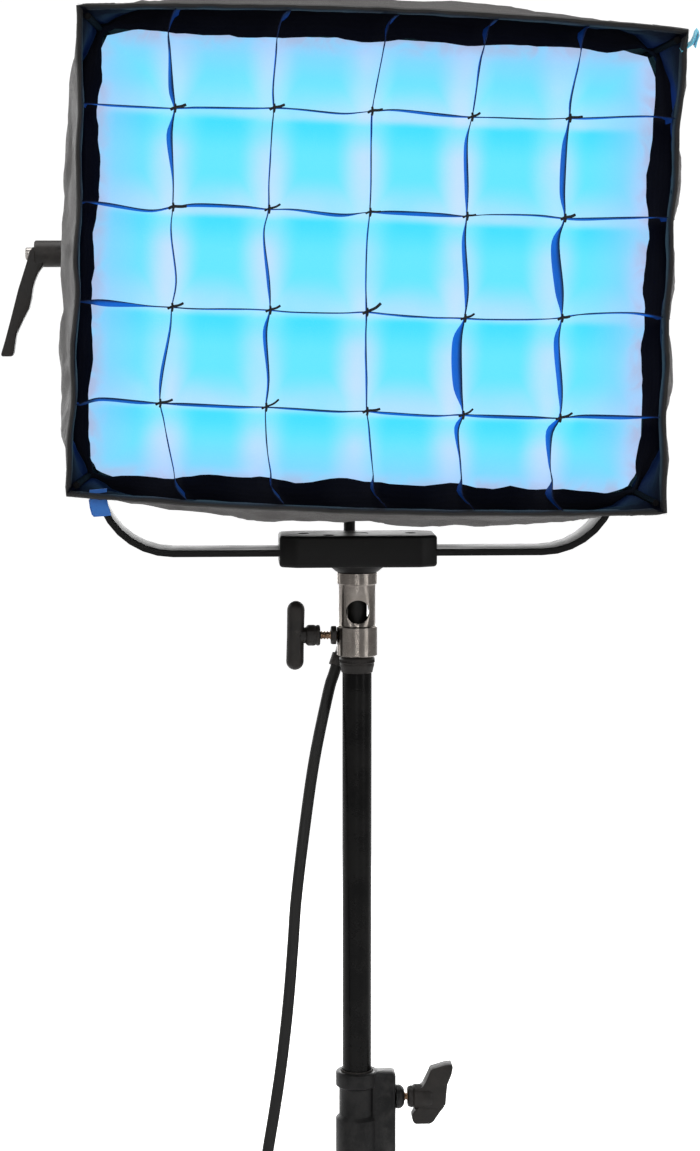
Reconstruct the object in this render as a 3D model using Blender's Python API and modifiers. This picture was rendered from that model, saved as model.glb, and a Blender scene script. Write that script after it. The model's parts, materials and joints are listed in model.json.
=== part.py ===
"""Colour light head with a fabric softbox and egg-crate grid, on a yoke and a sliding stand.

Metres, +Z up, the light faces -Y. The origin is on the floor, at the middle of the base.
"""

import math

import bmesh
import bpy
from mathutils import Matrix, Vector

# ---- driving dimensions ----
GAP = 0.0003             # clearance between pieces that touch
RUNNING = 0.0003         # radial clearance of a shaft in its bore

YOKE_HEIGHT = 0.2393     # tilt axis above the underside of the yoke bar
HEAD_DROP = 0.009        # centre of the head below the tilt axis
SOFTBOX_ROLL = math.radians(2.0)

LEG_REACH = 0.415
LEG_RADIUS = 0.0125
LEG_FOLD_START = (30, 150, 270)
FOOT_RADIUS = 0.0165
FOOT_HEIGHT = 0.030
FOOT_SOLE = 0.008
HUB_HEIGHT = 0.027
HUB_RADIUS = 0.024
HUB_LOWEST = 0.125

COLUMN_RADIUS = 0.015
COLUMN_WALL = 0.0015
COLUMN_BOTTOM = 0.098
COLLAR_TOP = 0.542
COLLAR_LENGTH = 0.087
COLLAR_RADIUS = 0.0173
COLLAR_NECK = 0.0146
COLLAR_LIP = 0.014
COLLAR_SOCKET = 0.045
RIB_REACH = 0.0315
RIB_THICKNESS = 0.020
KNOB_DROP = 0.023        # collar screw below the collar's top
SCREW_RADIUS = 0.0033

RISER_RADIUS = 0.0118
RISER_WALL = 0.0015
RISER_TOP = 0.8847
RISER_LENGTH = 0.585
CAP_HEIGHT = 0.013
CAP_RADIUS = 0.0148
PIN_RADIUS = 0.008
PIN_LENGTH = 0.060

RECEIVER_RING = 0.0163
RECEIVER_RADIUS = 0.0149
RECEIVER_HEIGHT = 0.0684
CROSS_HOLE = 0.0095
CROSS_HOLE_HEIGHT = 0.0371
LOCK_HEIGHT = 0.0169
LOCK_REACH = 0.0497
LOCK_BAR_LENGTH = 0.056
LOCK_BAR_RADIUS = 0.0070

BLOCK_LENGTH = 0.126
BLOCK_DEPTH = 0.055
BLOCK_HEIGHT = 0.0254
BLOCK_BOSS = 0.0053
YOKE_THICKNESS = 0.0055
YOKE_WIDTH = 0.042
SIDE_CLEARANCE = 0.0295  # housing's side to the outside of the yoke's arm
YOKE_CORNER = 0.062
BAR_IN_BLOCK = 0.0087    # underside of the yoke bar above the block's underside

STUD_RADIUS = 0.005
LEVER_HUB = 0.0105
LEVER_TIP = 0.2550       # outer end of the lever's hub from the middle
STUD_TIP = 0.2622

HOUSING_WIDTH = 0.360
HOUSING_HEIGHT = 0.290
HOUSING_WALL = 0.003
HOUSING_FRONT = -0.065
HOUSING_REAR = 0.040
BEZEL_DEPTH = 0.020
BEZEL_BORDER = 0.022
COVER_THICKNESS = 0.003
CASE_WIDTH = 0.220
CASE_HEIGHT = 0.100
CASE_DEPTH = 0.040
INLET_OFFSET = -0.080    # cable inlet to the side of the middle
INLET_DROP = 0.090       # cable inlet below the head's centre

SOFTBOX_WIDTH = 0.428
SOFTBOX_HEIGHT = 0.341
SOFTBOX_FRONT = -0.240
SOFTBOX_REAR = -0.062
CUFF_MARGIN = 0.012      # fabric cuff beyond the housing, on each side
FABRIC = 0.0015
BULGE = 0.026
FRAME_WALL = 0.004
FRAME_DEPTH = 0.016
DIFFUSER_SETBACK = 0.060
DIFFUSER_MARGIN = 0.0026 # fabric wall to the diffuser's edge, at each side
GRID_DEPTH = 0.046
GRID_STRIP = 0.0014
GRID_COLUMNS = 6
GRID_ROWS = 5
ROD_RADIUS = 0.0025

CABLE_RADIUS = 0.0047
COIL_CENTRE = (-0.190, -0.110)
COIL_RADIUS = 0.0517     # middle of the coil's turns
COIL_COLUMNS = 2
COIL_LAYERS = 3
PLUG_RADIUS = 0.019
PLUG_LENGTH = 0.052

# The cable's own points, in metres from the stand's axis at the floor.
UPPER_CABLE = [
    (-0.0800, 0.1503, 1.1080), (-0.0795, 0.1700, 1.1065), (-0.0760, 0.1960, 1.0900),
    (-0.0700, 0.2060, 1.0600), (-0.0600, 0.1960, 1.0280), (-0.0460, 0.1700, 1.0090),
    (-0.0310, 0.1350, 1.0080), (-0.0180, 0.1000, 1.0220), (-0.0090, 0.0700, 1.0320),
    (-0.0050, 0.0470, 1.0240), (-0.0043, 0.0360, 1.0060), (-0.0043, 0.0340, 0.9880),
    (-0.0043, 0.0340, 0.9730),
]
MIDDLE_CABLE = [
    (-0.0043, 0.0340, 0.9727), (-0.0043, 0.0340, 0.9600), (-0.0056, 0.0312, 0.9350),
    (-0.0080, 0.0258, 0.9100), (-0.0106, 0.0212, 0.8901), (-0.0143, 0.0185, 0.8790),
]
LOWER_CABLE = [
    (-0.0145, 0.0183, 0.8783), (-0.0180, 0.0158, 0.8679), (-0.0225, 0.0125, 0.8540),
    (-0.0343, -0.0010, 0.8020), (-0.0430, -0.0125, 0.7470), (-0.0502, -0.0215, 0.6910),
    (-0.0530, -0.0265, 0.6560), (-0.0571, -0.0330, 0.6090), (-0.0626, -0.0395, 0.5630),
    (-0.0686, -0.0445, 0.5240), (-0.0746, -0.0495, 0.4900), (-0.0880, -0.0565, 0.4100),
    (-0.1010, -0.0605, 0.3200), (-0.1140, -0.0615, 0.2300), (-0.1300, -0.0595, 0.1500),
    (-0.1500, -0.0572, 0.0900), (-0.1720, -0.0570, 0.0520), (-0.1950, -0.0586, 0.0362),
    (-0.2118, -0.0631, 0.0340), (-0.2266, -0.0734, 0.0337),
]
TAIL_CABLE = [
    (-0.2066, -0.1732, 0.0062), (-0.1985, -0.1813, 0.0110), (-0.1900, -0.1898, 0.0165),
    (-0.1820, -0.1978, 0.0190), (-0.1747, -0.2051, 0.0190),
]

# ---- sizes that follow from them ----
STAND_Y = LEG_REACH / 4  # puts the middle of the three feet at the origin
RECEIVER_BOTTOM = RISER_TOP + GAP
RECEIVER_TOP = RECEIVER_BOTTOM + RECEIVER_HEIGHT
BLOCK_BOTTOM = RECEIVER_TOP + GAP + BLOCK_BOSS
BAR_BOTTOM = BLOCK_BOTTOM + BAR_IN_BLOCK
BAR_TOP = BAR_BOTTOM + YOKE_THICKNESS
TILT_HEIGHT = BAR_BOTTOM + YOKE_HEIGHT
BLOCK_TOP = BLOCK_BOTTOM + BLOCK_HEIGHT
LOCK_Z = RECEIVER_BOTTOM + LOCK_HEIGHT
COLLAR_KNOB_Z = COLLAR_TOP - KNOB_DROP
COLUMN_TOP = COLLAR_TOP - COLLAR_LENGTH + COLLAR_SOCKET
ARM_OUTER = HOUSING_WIDTH / 2 + SIDE_CLEARANCE
ARM_INNER = ARM_OUTER - YOKE_THICKNESS
HALF_HOUSING = (HOUSING_WIDTH / 2, HOUSING_HEIGHT / 2)
SOFTBOX_DEPTH = SOFTBOX_REAR - SOFTBOX_FRONT
CUFF = (HOUSING_WIDTH + 2 * CUFF_MARGIN, HOUSING_HEIGHT + 2 * CUFF_MARGIN + 0.002)
SETBACK_SHARE = DIFFUSER_SETBACK / SOFTBOX_DEPTH
DIFFUSER = (
    SOFTBOX_WIDTH + (CUFF[0] - SOFTBOX_WIDTH) * SETBACK_SHARE - 2 * DIFFUSER_MARGIN,
    SOFTBOX_HEIGHT + (CUFF[1] - SOFTBOX_HEIGHT) * SETBACK_SHARE - 2.5 * DIFFUSER_MARGIN,
)
CASE_REAR = HOUSING_REAR + GAP + COVER_THICKNESS + GAP + CASE_DEPTH
STRAP_INNER = CABLE_RADIUS + 2 * GAP
STRAP_OUTER = STRAP_INNER + 0.0012

ALONG_X = (0, math.pi / 2, 0)
ALONG_Y = (-math.pi / 2, 0, 0)
UPRIGHT = (math.pi / 2, 0, 0)   # a flat outline stood up, facing -Y

COLOURS = {
    "black_paint": ((0.016, 0.016, 0.017), 0.38, 0.0),
    "black_plastic": ((0.028, 0.027, 0.027), 0.55, 0.0),
    "cast_grey": ((0.030, 0.031, 0.033), 0.45, 0.6),
    "satin_nickel": ((0.58, 0.55, 0.51), 0.30, 1.0),
    "aluminium": ((0.62, 0.63, 0.64), 0.40, 1.0),
    "rubber": ((0.015, 0.015, 0.015), 0.80, 0.0),
    "softbox_fabric": ((0.060, 0.052, 0.050), 0.85, 0.0),
    "diffuser_cloth": ((0.80, 0.84, 0.90), 0.75, 0.0),
    "grid_cloth": ((0.010, 0.030, 0.160), 0.80, 0.0),
    "white_plastic": ((0.82, 0.83, 0.84), 0.45, 0.0),
    "board_green": ((0.02, 0.14, 0.06), 0.50, 0.0),
    "display_glass": ((0.02, 0.04, 0.08), 0.10, 0.0),
    "cyan_webbing": ((0.02, 0.55, 0.70), 0.70, 0.0),
    "blue_webbing": ((0.03, 0.10, 0.55), 0.70, 0.0),
    "fibreglass": ((0.10, 0.10, 0.09), 0.50, 0.0),
}


# ---- tools ----
def clear_scene():
    for thing in list(bpy.data.objects):
        bpy.data.objects.remove(thing)


def new_collection(name):
    made = bpy.data.collections.new(name)
    bpy.context.scene.collection.children.link(made)
    return made


def material(name):
    made = bpy.data.materials.get(name)
    if made is None:
        colour, roughness, metallic = COLOURS[name]
        made = bpy.data.materials.new(name)
        made.use_nodes = True
        shader = made.node_tree.nodes["Principled BSDF"]
        shader.inputs["Base Color"].default_value = (*colour, 1)
        shader.inputs["Roughness"].default_value = roughness
        shader.inputs["Metallic"].default_value = metallic
        made.diffuse_color = (*colour, 1)
    return made


def empty(name, parent=None, location=(0, 0, 0), rotation=(0, 0, 0)):
    made = bpy.data.objects.new(name, None)
    PARTS.objects.link(made)
    made.parent = parent
    made.location = location
    made.rotation_euler = rotation
    return made


def place(name, data, finish, parent, location=(0, 0, 0), rotation=(0, 0, 0)):
    """Adds an object. One with no finish is a cutter, or a lump that is joined to another piece."""
    made = bpy.data.objects.new(name, data)
    if finish:
        own = material(finish).copy()
        own.name = name
        data.materials.append(own)
        PARTS.objects.link(made)
    else:
        CUTTERS.objects.link(made)
        made.hide_render = True
        made.display_type = "WIRE"
    made.parent = parent
    made.location = location
    made.rotation_euler = rotation
    return made


def round_edges(thing, width, segments=2):
    edges = thing.modifiers.new("round_edges", "BEVEL")
    edges.width = width
    edges.segments = segments
    edges.limit_method = "ANGLE"


def box(name, low, high, finish, parent, edge=0.0):
    """A block between two corners, with rounded edges where edge is given."""
    low, high = Vector(low), Vector(high)
    shape = bmesh.new()
    bmesh.ops.create_cube(shape, size=1, matrix=Matrix.Diagonal((*(high - low), 1)))
    data = bpy.data.meshes.new(name)
    shape.to_mesh(data)
    shape.free()
    made = place(name, data, finish, parent, (low + high) / 2)
    if edge:
        round_edges(made, edge)
    return made


def turned(name, profile, finish, parent, location=(0, 0, 0), rotation=(0, 0, 0), ring=False, steps=20):
    """Turns (radius, height) points about the local Z axis. They run down the outer side first."""
    count = len(profile)
    edges = [(n, (n + 1) % count) for n in range(count if ring else count - 1)]
    data = bpy.data.meshes.new(name)
    data.from_pydata([(radius, 0, height) for radius, height in profile], edges, [])
    made = place(name, data, finish, parent, location, rotation)
    lathe = made.modifiers.new("turn", "SCREW")
    lathe.steps = steps
    lathe.render_steps = steps
    lathe.use_merge_vertices = True
    lathe.merge_threshold = 0.00001
    return made


def rod(name, radius, low, high, finish, parent, location=(0, 0, 0), rotation=(0, 0, 0), steps=16):
    profile = [(0, high), (radius, high), (radius, low), (0, low)]
    return turned(name, profile, finish, parent, location, rotation, steps=steps)


def ring(name, outer, inner, low, high, finish, parent, location=(0, 0, 0), rotation=(0, 0, 0), steps=20):
    profile = [(outer, high), (outer, low), (inner, low), (inner, high)]
    return turned(name, profile, finish, parent, location, rotation, ring=True, steps=steps)


def as_mesh(curve):
    """The curve object remade as a closed mesh, which can be cut."""
    bpy.context.view_layer.update()
    graph = bpy.context.evaluated_depsgraph_get()
    data = bpy.data.meshes.new_from_object(curve.evaluated_get(graph))
    shape = bmesh.new()
    shape.from_mesh(data)
    bmesh.ops.remove_doubles(shape, verts=shape.verts, dist=0.00001)
    shape.to_mesh(data)
    shape.free()
    name, outline = curve.name, curve.data
    made = bpy.data.objects.new(name, data)
    for collection in curve.users_collection:
        collection.objects.link(made)
    made.hide_render = curve.hide_render
    made.display_type = curve.display_type
    made.parent = curve.parent
    made.location = curve.location
    made.rotation_euler = curve.rotation_euler
    bpy.data.objects.remove(curve)
    bpy.data.curves.remove(outline)
    made.name = name
    return made


def flat(name, outlines, thickness, finish, parent, location=(0, 0, 0), rotation=(0, 0, 0)):
    """A plate from closed outlines. An outline inside another is a hole."""
    data = bpy.data.curves.new(name, "CURVE")
    data.dimensions = "2D"
    data.fill_mode = "BOTH"
    data.extrude = thickness / 2
    for outline in outlines:
        spline = data.splines.new("POLY")
        spline.points.add(len(outline) - 1)
        for point, (x, y) in zip(spline.points, outline):
            point.co = (x, y, 0, 1)
        spline.use_cyclic_u = True
    return as_mesh(place(name, data, finish, parent, location, rotation))


def smooth_route(points, spacing):
    """Points about one spacing apart on the smooth curve through the given ones."""
    knots = [Vector(point) for point in points]
    knots = [2 * knots[0] - knots[1], *knots, 2 * knots[-1] - knots[-2]]
    dense = []
    for before, start, end, after in zip(knots, knots[1:], knots[2:], knots[3:]):
        for step in range(20):
            t = step / 20
            dense.append(
                0.5 * (2 * start + (end - before) * t
                       + (2 * before - 5 * start + 4 * end - after) * t ** 2
                       + (3 * start - before - 3 * end + after) * t ** 3)
            )
    dense.append(knots[-2])
    lengths = [0.0]
    for first, second in zip(dense, dense[1:]):
        lengths.append(lengths[-1] + (second - first).length)
    count = max(2, round(lengths[-1] / spacing))
    route, n = [], 0
    for step in range(count + 1):
        want = lengths[-1] * step / count
        while n < len(dense) - 2 and lengths[n + 1] < want:
            n += 1
        share = (want - lengths[n]) / (lengths[n + 1] - lengths[n])
        route.append(dense[n].lerp(dense[n + 1], share))
    return route


def tube(name, route, radius, finish, parent, spacing, resolution=2):
    """A round bar along a smooth route, with flat ends."""
    data = bpy.data.curves.new(name, "CURVE")
    data.dimensions = "3D"
    data.bevel_depth = radius
    data.bevel_resolution = resolution
    data.use_fill_caps = True
    spline = data.splines.new("POLY")
    path = smooth_route(route, spacing)
    spline.points.add(len(path) - 1)
    for point, place_at in zip(spline.points, path):
        point.co = (*place_at, 1)
    return place(name, data, finish, parent)


def combine(target, other, operation):
    change = target.modifiers.new(f"{operation.lower()}_{other.name}", "BOOLEAN")
    change.operation = operation
    change.object = other
    change.solver = "EXACT"


def cut(target, *cutters):
    for cutter in cutters:
        combine(target, cutter, "DIFFERENCE")


def join(target, *lumps):
    for lump in lumps:
        combine(target, lump, "UNION")


def arc(centre_x, centre_y, radius, start, end, count):
    """Points on an arc from one angle to another, in degrees."""
    turns = [math.radians(start + (end - start) * n / count) for n in range(count + 1)]
    return [(centre_x + radius * math.cos(a), centre_y + radius * math.sin(a)) for a in turns]


def rectangle(width, height, middle=(0, 0)):
    x, y = width / 2, height / 2
    return [(middle[0] + a, middle[1] + b) for a, b in ((-x, -y), (x, -y), (x, y), (-x, y))]


# ---- base and column ----
def leg(name, angle, hub_z, pivot):
    """A bent tube on a ring that turns about the column, ending straight down in its foot."""
    knee = 0.078
    falls = ((0.130, 0.05), (0.200, 0.24), (0.270, 0.50), (0.335, 0.76), (0.385, 0.96))
    route = [(0.0190, 0, hub_z), (0.0700, 0, hub_z)]
    route += [(LEG_REACH * x / 0.415, 0, hub_z - share * (hub_z - knee)) for x, share in falls]
    route += [(LEG_REACH - 0.007, 0, knee - 0.008)]
    route += [(LEG_REACH, 0, z) for z in (0.060, 0.052, 0.044, FOOT_HEIGHT, FOOT_SOLE + GAP)]
    aim = empty(f"{name}_axis", pivot, rotation=(0, 0, math.radians(angle)))
    sides = 20
    hub = ring(name, HUB_RADIUS, COLUMN_RADIUS + RUNNING, hub_z - HUB_HEIGHT / 2,
               hub_z + HUB_HEIGHT / 2, "black_paint", aim, rotation=(0, 0, math.pi / sides), steps=sides)
    join(hub, as_mesh(tube(f"{name}_bar", route, LEG_RADIUS, None, aim, 0.018)))
    bore = LEG_RADIUS + GAP
    profile = [
        (bore, FOOT_HEIGHT), (FOOT_RADIUS - 0.0015, FOOT_HEIGHT), (FOOT_RADIUS, FOOT_HEIGHT - 0.003),
        (FOOT_RADIUS, 0), (0, 0), (0, FOOT_SOLE), (bore, FOOT_SOLE),
    ]
    turned(f"{name}_foot", profile, "rubber", aim, (LEG_REACH, 0, 0), ring=True)


def column(stand):
    flange_top = HUB_LOWEST - HUB_HEIGHT / 2 - GAP
    inner = COLUMN_RADIUS - COLUMN_WALL
    profile = [
        (COLUMN_RADIUS, COLUMN_TOP), (COLUMN_RADIUS, flange_top), (HUB_RADIUS - 0.002, flange_top),
        (HUB_RADIUS - 0.002, COLUMN_BOTTOM), (inner, COLUMN_BOTTOM), (inner, COLUMN_TOP),
    ]
    turned("column_tube", profile, "black_paint", stand, ring=True)
    stop_bottom = HUB_LOWEST + 2 * (HUB_HEIGHT + GAP) + HUB_HEIGHT / 2 + GAP
    ring("hub_stop_ring", HUB_RADIUS - 0.002, COLUMN_RADIUS + GAP, stop_bottom, stop_bottom + 0.012,
         "black_paint", stand)


def collar(stand):
    bottom = COLLAR_TOP - COLLAR_LENGTH
    bush_outer = RISER_RADIUS + RUNNING + 0.0010
    bore = bush_outer + GAP
    socket = COLUMN_RADIUS + GAP
    step = COLUMN_TOP + GAP
    profile = [
        (COLLAR_RADIUS - 0.001, COLLAR_TOP), (COLLAR_RADIUS, COLLAR_TOP - 0.001),
        (COLLAR_RADIUS, COLLAR_TOP - COLLAR_LIP + 0.002), (COLLAR_NECK, COLLAR_TOP - COLLAR_LIP),
        (COLLAR_NECK, step + 0.005), (COLLAR_RADIUS, step + 0.002), (COLLAR_RADIUS, bottom),
        (socket, bottom), (socket, step), (bore, step), (bore, COLLAR_TOP),
    ]
    casting = turned("collar_casting", profile, "cast_grey", stand, ring=True, steps=24)
    rib = box("collar_rib", (COLLAR_NECK - 0.003, -RIB_THICKNESS / 2, bottom + 0.004),
              (RIB_REACH, RIB_THICKNESS / 2, COLLAR_TOP - 0.0005), None, stand)
    round_edges(rib, 0.003, 2)
    inside = rod("collar_bore_cutter", bore, step - 0.004, COLLAR_TOP + 0.01, None, stand, steps=24)
    socket_cutter = rod("collar_socket_cutter", socket, bottom - 0.01, step, None, stand, steps=24)
    hole = rod("collar_screw_cutter", SCREW_RADIUS + RUNNING, bore - 0.002, RIB_REACH + 0.01, None,
               stand, (0, 0, COLLAR_KNOB_Z), ALONG_X)
    join(casting, rib)
    cut(casting, inside, socket_cutter, hole)
    bush = ring("collar_bush", bush_outer, RISER_RADIUS + RUNNING, step, COLLAR_TOP + 0.0012,
                "black_plastic", stand, steps=24)
    bush_hole = rod("bush_screw_cutter", SCREW_RADIUS + RUNNING, 0.005, RIB_REACH, None, stand,
                    (0, 0, COLLAR_KNOB_Z), ALONG_X)
    cut(bush, bush_hole)


def collar_knob(pivot):
    """The wing knob that clamps the riser. Its local X runs out along the screw."""
    start = RISER_RADIUS + GAP
    ferrule = RIB_REACH + GAP
    hub_start = ferrule + 0.0098
    profile = [
        (0, hub_start + 0.010), (SCREW_RADIUS, hub_start + 0.010), (SCREW_RADIUS, ferrule + 0.0070),
        (0.0078, ferrule + 0.0066), (0.0098, ferrule + 0.0035), (0.0098, ferrule),
        (SCREW_RADIUS, ferrule), (SCREW_RADIUS, start), (0, start),
    ]
    turned("collar_knob_screw", profile, "satin_nickel", pivot, rotation=ALONG_X)
    tip = hub_start + 0.0370
    outline = [
        (hub_start + 0.006, -0.0085), (hub_start + 0.006, 0.0090), (hub_start + 0.0125, 0.0120),
        (hub_start + 0.0205, 0.0250), (tip - 0.0020, 0.0280), (tip, 0.0255),
        (tip, 0.0215), (tip - 0.0050, 0.0120), (tip - 0.0060, -0.0050), (tip - 0.0085, -0.0090),
        (tip - 0.0200, -0.0220), (hub_start + 0.0050, -0.0220), (hub_start + 0.0020, -0.0170),
    ]
    blade = flat("collar_knob", [outline], 0.015, "black_plastic", pivot, rotation=UPRIGHT)
    neck = rod("collar_knob_neck", 0.0100, hub_start, hub_start + 0.020, None, pivot, rotation=ALONG_X)
    hole = rod("collar_knob_cutter", SCREW_RADIUS + GAP, hub_start - 0.01, hub_start + 0.010 + GAP,
               None, pivot, rotation=ALONG_X)
    join(blade, neck)
    cut(blade, hole)


def cable_strap(name, at, before, length, parent, parent_z):
    """A band round the cable at a point of its route, square to the route there."""
    turn = (Vector(before) - Vector(at)).to_track_quat("Z", "Y").to_euler()
    ring(name, STRAP_OUTER, STRAP_INNER, -length / 2, length / 2, "black_plastic", parent,
         Vector(at) - Vector((0, 0, parent_z)), turn, steps=16)


# ---- riser ----
def riser(slide):
    """The riser tube hangs from its own top, at height 0 of the slide's empty."""
    inside = 0.0087
    shank = 0.006
    skirt = RISER_RADIUS + GAP
    tube_top = -inside - GAP
    ring("riser_tube", RISER_RADIUS, RISER_RADIUS - RISER_WALL, -RISER_LENGTH, tube_top,
         "black_paint", slide, steps=24)
    profile = [
        (CAP_RADIUS - 0.0006, 0), (CAP_RADIUS, -0.0006), (CAP_RADIUS, -0.0050),
        (skirt + 0.0008, -CAP_HEIGHT), (skirt, -CAP_HEIGHT), (skirt, -inside),
        (shank + GAP, -inside), (shank + GAP, 0),
    ]
    turned("riser_cap", profile, "black_plastic", slide, ring=True, steps=24)
    groove = PIN_RADIUS - 0.0015
    profile = [
        (0, PIN_LENGTH), (PIN_RADIUS - 0.001, PIN_LENGTH), (PIN_RADIUS, PIN_LENGTH - 0.001),
        (PIN_RADIUS, 0.0275), (groove, 0.0265), (groove, 0.0085), (PIN_RADIUS, 0.0075),
        (PIN_RADIUS, GAP), (shank, GAP), (shank, -0.022), (0, -0.022),
    ]
    turned("spigot_pin", profile, "black_paint", slide)
    cable_strap("riser_cable_strap", MIDDLE_CABLE[-1], MIDDLE_CABLE[-2], 0.010, slide, RISER_TOP)


# ---- yoke ----
def block_outline():
    x, y, cut_x, cut_y = BLOCK_LENGTH / 2, BLOCK_DEPTH / 2, 0.013, 0.007
    corner = [(x, y - cut_y), (x - cut_x, y), (-x + cut_x, y), (-x, y - cut_y)]
    return corner + [(-a, -b) for a, b in corner]


def clamp_block(yoke):
    """Two halves that hold the yoke bar between them, bolted down on the receiver."""
    seam = BAR_TOP + 0.0002
    lower = flat("block_lower", [block_outline()], seam - BLOCK_BOTTOM, "black_paint", yoke,
                 (0, 0, (seam + BLOCK_BOTTOM) / 2))
    top = flat("block_upper", [block_outline()], BLOCK_TOP - seam - GAP, "black_paint", yoke,
               (0, 0, (seam + GAP + BLOCK_TOP) / 2))
    boss = turned("block_boss", [(0, 0.002), (0.022, 0.002), (0.022, 0), (RECEIVER_RING + 0.001, -BLOCK_BOSS),
                                 (0, -BLOCK_BOSS)], None, yoke, (0, 0, BLOCK_BOTTOM), steps=24)
    channel = box("block_channel_cutter", (-BLOCK_LENGTH, -YOKE_WIDTH / 2 - GAP, BAR_BOTTOM - GAP),
                  (BLOCK_LENGTH, YOKE_WIDTH / 2 + GAP, BLOCK_TOP), None, yoke)
    bolt = 0.005
    hole = rod("bolt_cutter", bolt + GAP, RECEIVER_TOP - 0.02, BLOCK_TOP + 0.01, None, yoke)
    sink = rod("bolt_head_cutter", 0.0085 + GAP, BLOCK_TOP - 0.0064, BLOCK_TOP + 0.01, None, yoke)
    join(lower, boss)
    cut(lower, channel, hole)
    cut(top, hole, sink)
    head = BLOCK_TOP - 0.0064 + GAP
    profile = [
        (0, BLOCK_TOP - GAP), (0.0085, BLOCK_TOP - GAP), (0.0085, head), (bolt, head),
        (bolt, RECEIVER_TOP - 0.006), (0, RECEIVER_TOP - 0.006),
    ]
    turned("block_bolt", profile, "satin_nickel", yoke)
    return hole


def yoke_bar(yoke, hole):
    """A flat bar bent to a U, with round ends that carry the tilt axis."""
    straight = ARM_OUTER - YOKE_CORNER
    corner_z = BAR_BOTTOM + YOKE_CORNER
    bends = [arc(straight, corner_z, YOKE_CORNER - inset, 0, -90, 8) for inset in (0, YOKE_THICKNESS)]
    sides = [[(radius_x, TILT_HEIGHT), *bend] for radius_x, bend in zip((ARM_OUTER, ARM_INNER), bends)]
    outer = sides[0] + [(-x, z) for x, z in reversed(sides[0])]
    inner = sides[1] + [(-x, z) for x, z in reversed(sides[1])]
    bar = flat("yoke_bar", [outer + inner[::-1]], YOKE_WIDTH, "black_paint", yoke, rotation=UPRIGHT)
    for side, start, end in (("left", -ARM_OUTER, -ARM_INNER), ("right", ARM_INNER, ARM_OUTER)):
        at = (0, 0, TILT_HEIGHT)
        join(bar, rod(f"yoke_end_{side}", YOKE_WIDTH / 2, start, end, None, yoke, at, ALONG_X, steps=24))
    cut(bar, rod("yoke_pivot_cutter", STUD_RADIUS + RUNNING, -0.3, 0.3, None, yoke, (0, 0, TILT_HEIGHT),
                 ALONG_X))
    cut(bar, hole)


def receiver(yoke):
    """Machined socket that drops over the spigot pin and turns on it."""
    bore = PIN_RADIUS + RUNNING
    bore_top = PIN_LENGTH + 0.0010
    ring_top = RECEIVER_HEIGHT - 0.0098
    ring_low = 0.0246
    profile = [
        (RECEIVER_RING, RECEIVER_HEIGHT), (RECEIVER_RING, ring_top), (RECEIVER_RADIUS, ring_top - 0.0008),
        (RECEIVER_RADIUS, ring_low + 0.0008), (RECEIVER_RING, ring_low), (RECEIVER_RING, 0.0012),
        (RECEIVER_RING - 0.0012, 0), (bore, 0), (bore, bore_top), (0.0053, bore_top),
        (0.0053, RECEIVER_HEIGHT),
    ]
    at = (0, 0, RECEIVER_BOTTOM)
    body = turned("receiver", profile, "satin_nickel", yoke, at, ring=True, steps=24)
    cut(body,
        rod("cross_hole_cutter", CROSS_HOLE, -0.05, 0.05, None, yoke,
            (0, 0, RECEIVER_BOTTOM + CROSS_HOLE_HEIGHT), ALONG_Y),
        rod("lock_hole_cutter", SCREW_RADIUS + RUNNING, -0.05, -0.004, None, yoke, (0, 0, LOCK_Z), ALONG_X))
    ring("lock_nut", 0.0072, SCREW_RADIUS + RUNNING, -RECEIVER_RING - 0.0050, -RECEIVER_RING - GAP,
         "black_plastic", yoke, (0, 0, LOCK_Z), ALONG_X)
    cable_strap("yoke_cable_strap", UPPER_CABLE[-1], UPPER_CABLE[-2], 0.014, yoke, 0)


def lock_knob(pivot):
    """The T-bar screw that locks the receiver on the pin."""
    hub_start = RECEIVER_RING + 0.0135
    screw_end = hub_start + 0.008
    rod("lock_screw", SCREW_RADIUS, -screw_end, -PIN_RADIUS - GAP, "satin_nickel", pivot, rotation=ALONG_X)
    half, radius = LOCK_BAR_LENGTH / 2, LOCK_BAR_RADIUS
    side = arc(0, half - radius, radius, 90, 0, 5) + arc(0, radius - half, radius, 0, -90, 5)
    side[0], side[-1] = (0, half), (0, -half)
    bar = turned("lock_knob", side, "black_plastic", pivot, (-LOCK_REACH, 0, 0), (0, math.radians(1.2), 0))
    neck = rod("lock_knob_neck", 0.0080, -LOCK_REACH, -hub_start, None, pivot, rotation=ALONG_X)
    hole = rod("lock_knob_cutter", SCREW_RADIUS + GAP, -screw_end - GAP, 0, None, pivot, rotation=ALONG_X)
    join(bar, neck)
    cut(bar, hole)


def tilt_lever(pivot):
    """The lever that clamps the tilt axis. Its local origin is on that axis."""
    start = ARM_OUTER + GAP
    lever_hub = rod("tilt_lever", LEVER_HUB, -LEVER_TIP, -start, "black_plastic", pivot, rotation=ALONG_X,
                    steps=24)
    reach = LEVER_TIP
    outline = [
        (-reach + 0.0060, 0.0030), (-reach - 0.0025, 0.0030), (-reach - 0.0058, -0.0065),
        (-reach - 0.0128, -0.0280), (-reach - 0.0276, -0.0807), (-reach - 0.0172, -0.0807),
        (-reach - 0.0146, -0.0633), (-reach - 0.0044, -0.0428), (-reach - 0.0014, -0.0280),
        (-reach + 0.0019, -0.0165), (-reach + 0.0070, -0.0095),
    ]
    arm = flat("tilt_lever_arm", [outline], 0.016, None, pivot, rotation=UPRIGHT)
    join(lever_hub, arm)
    cut(lever_hub, rod("tilt_lever_cutter", STUD_RADIUS + RUNNING, -0.3, 0, None, pivot, rotation=ALONG_X))


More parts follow.
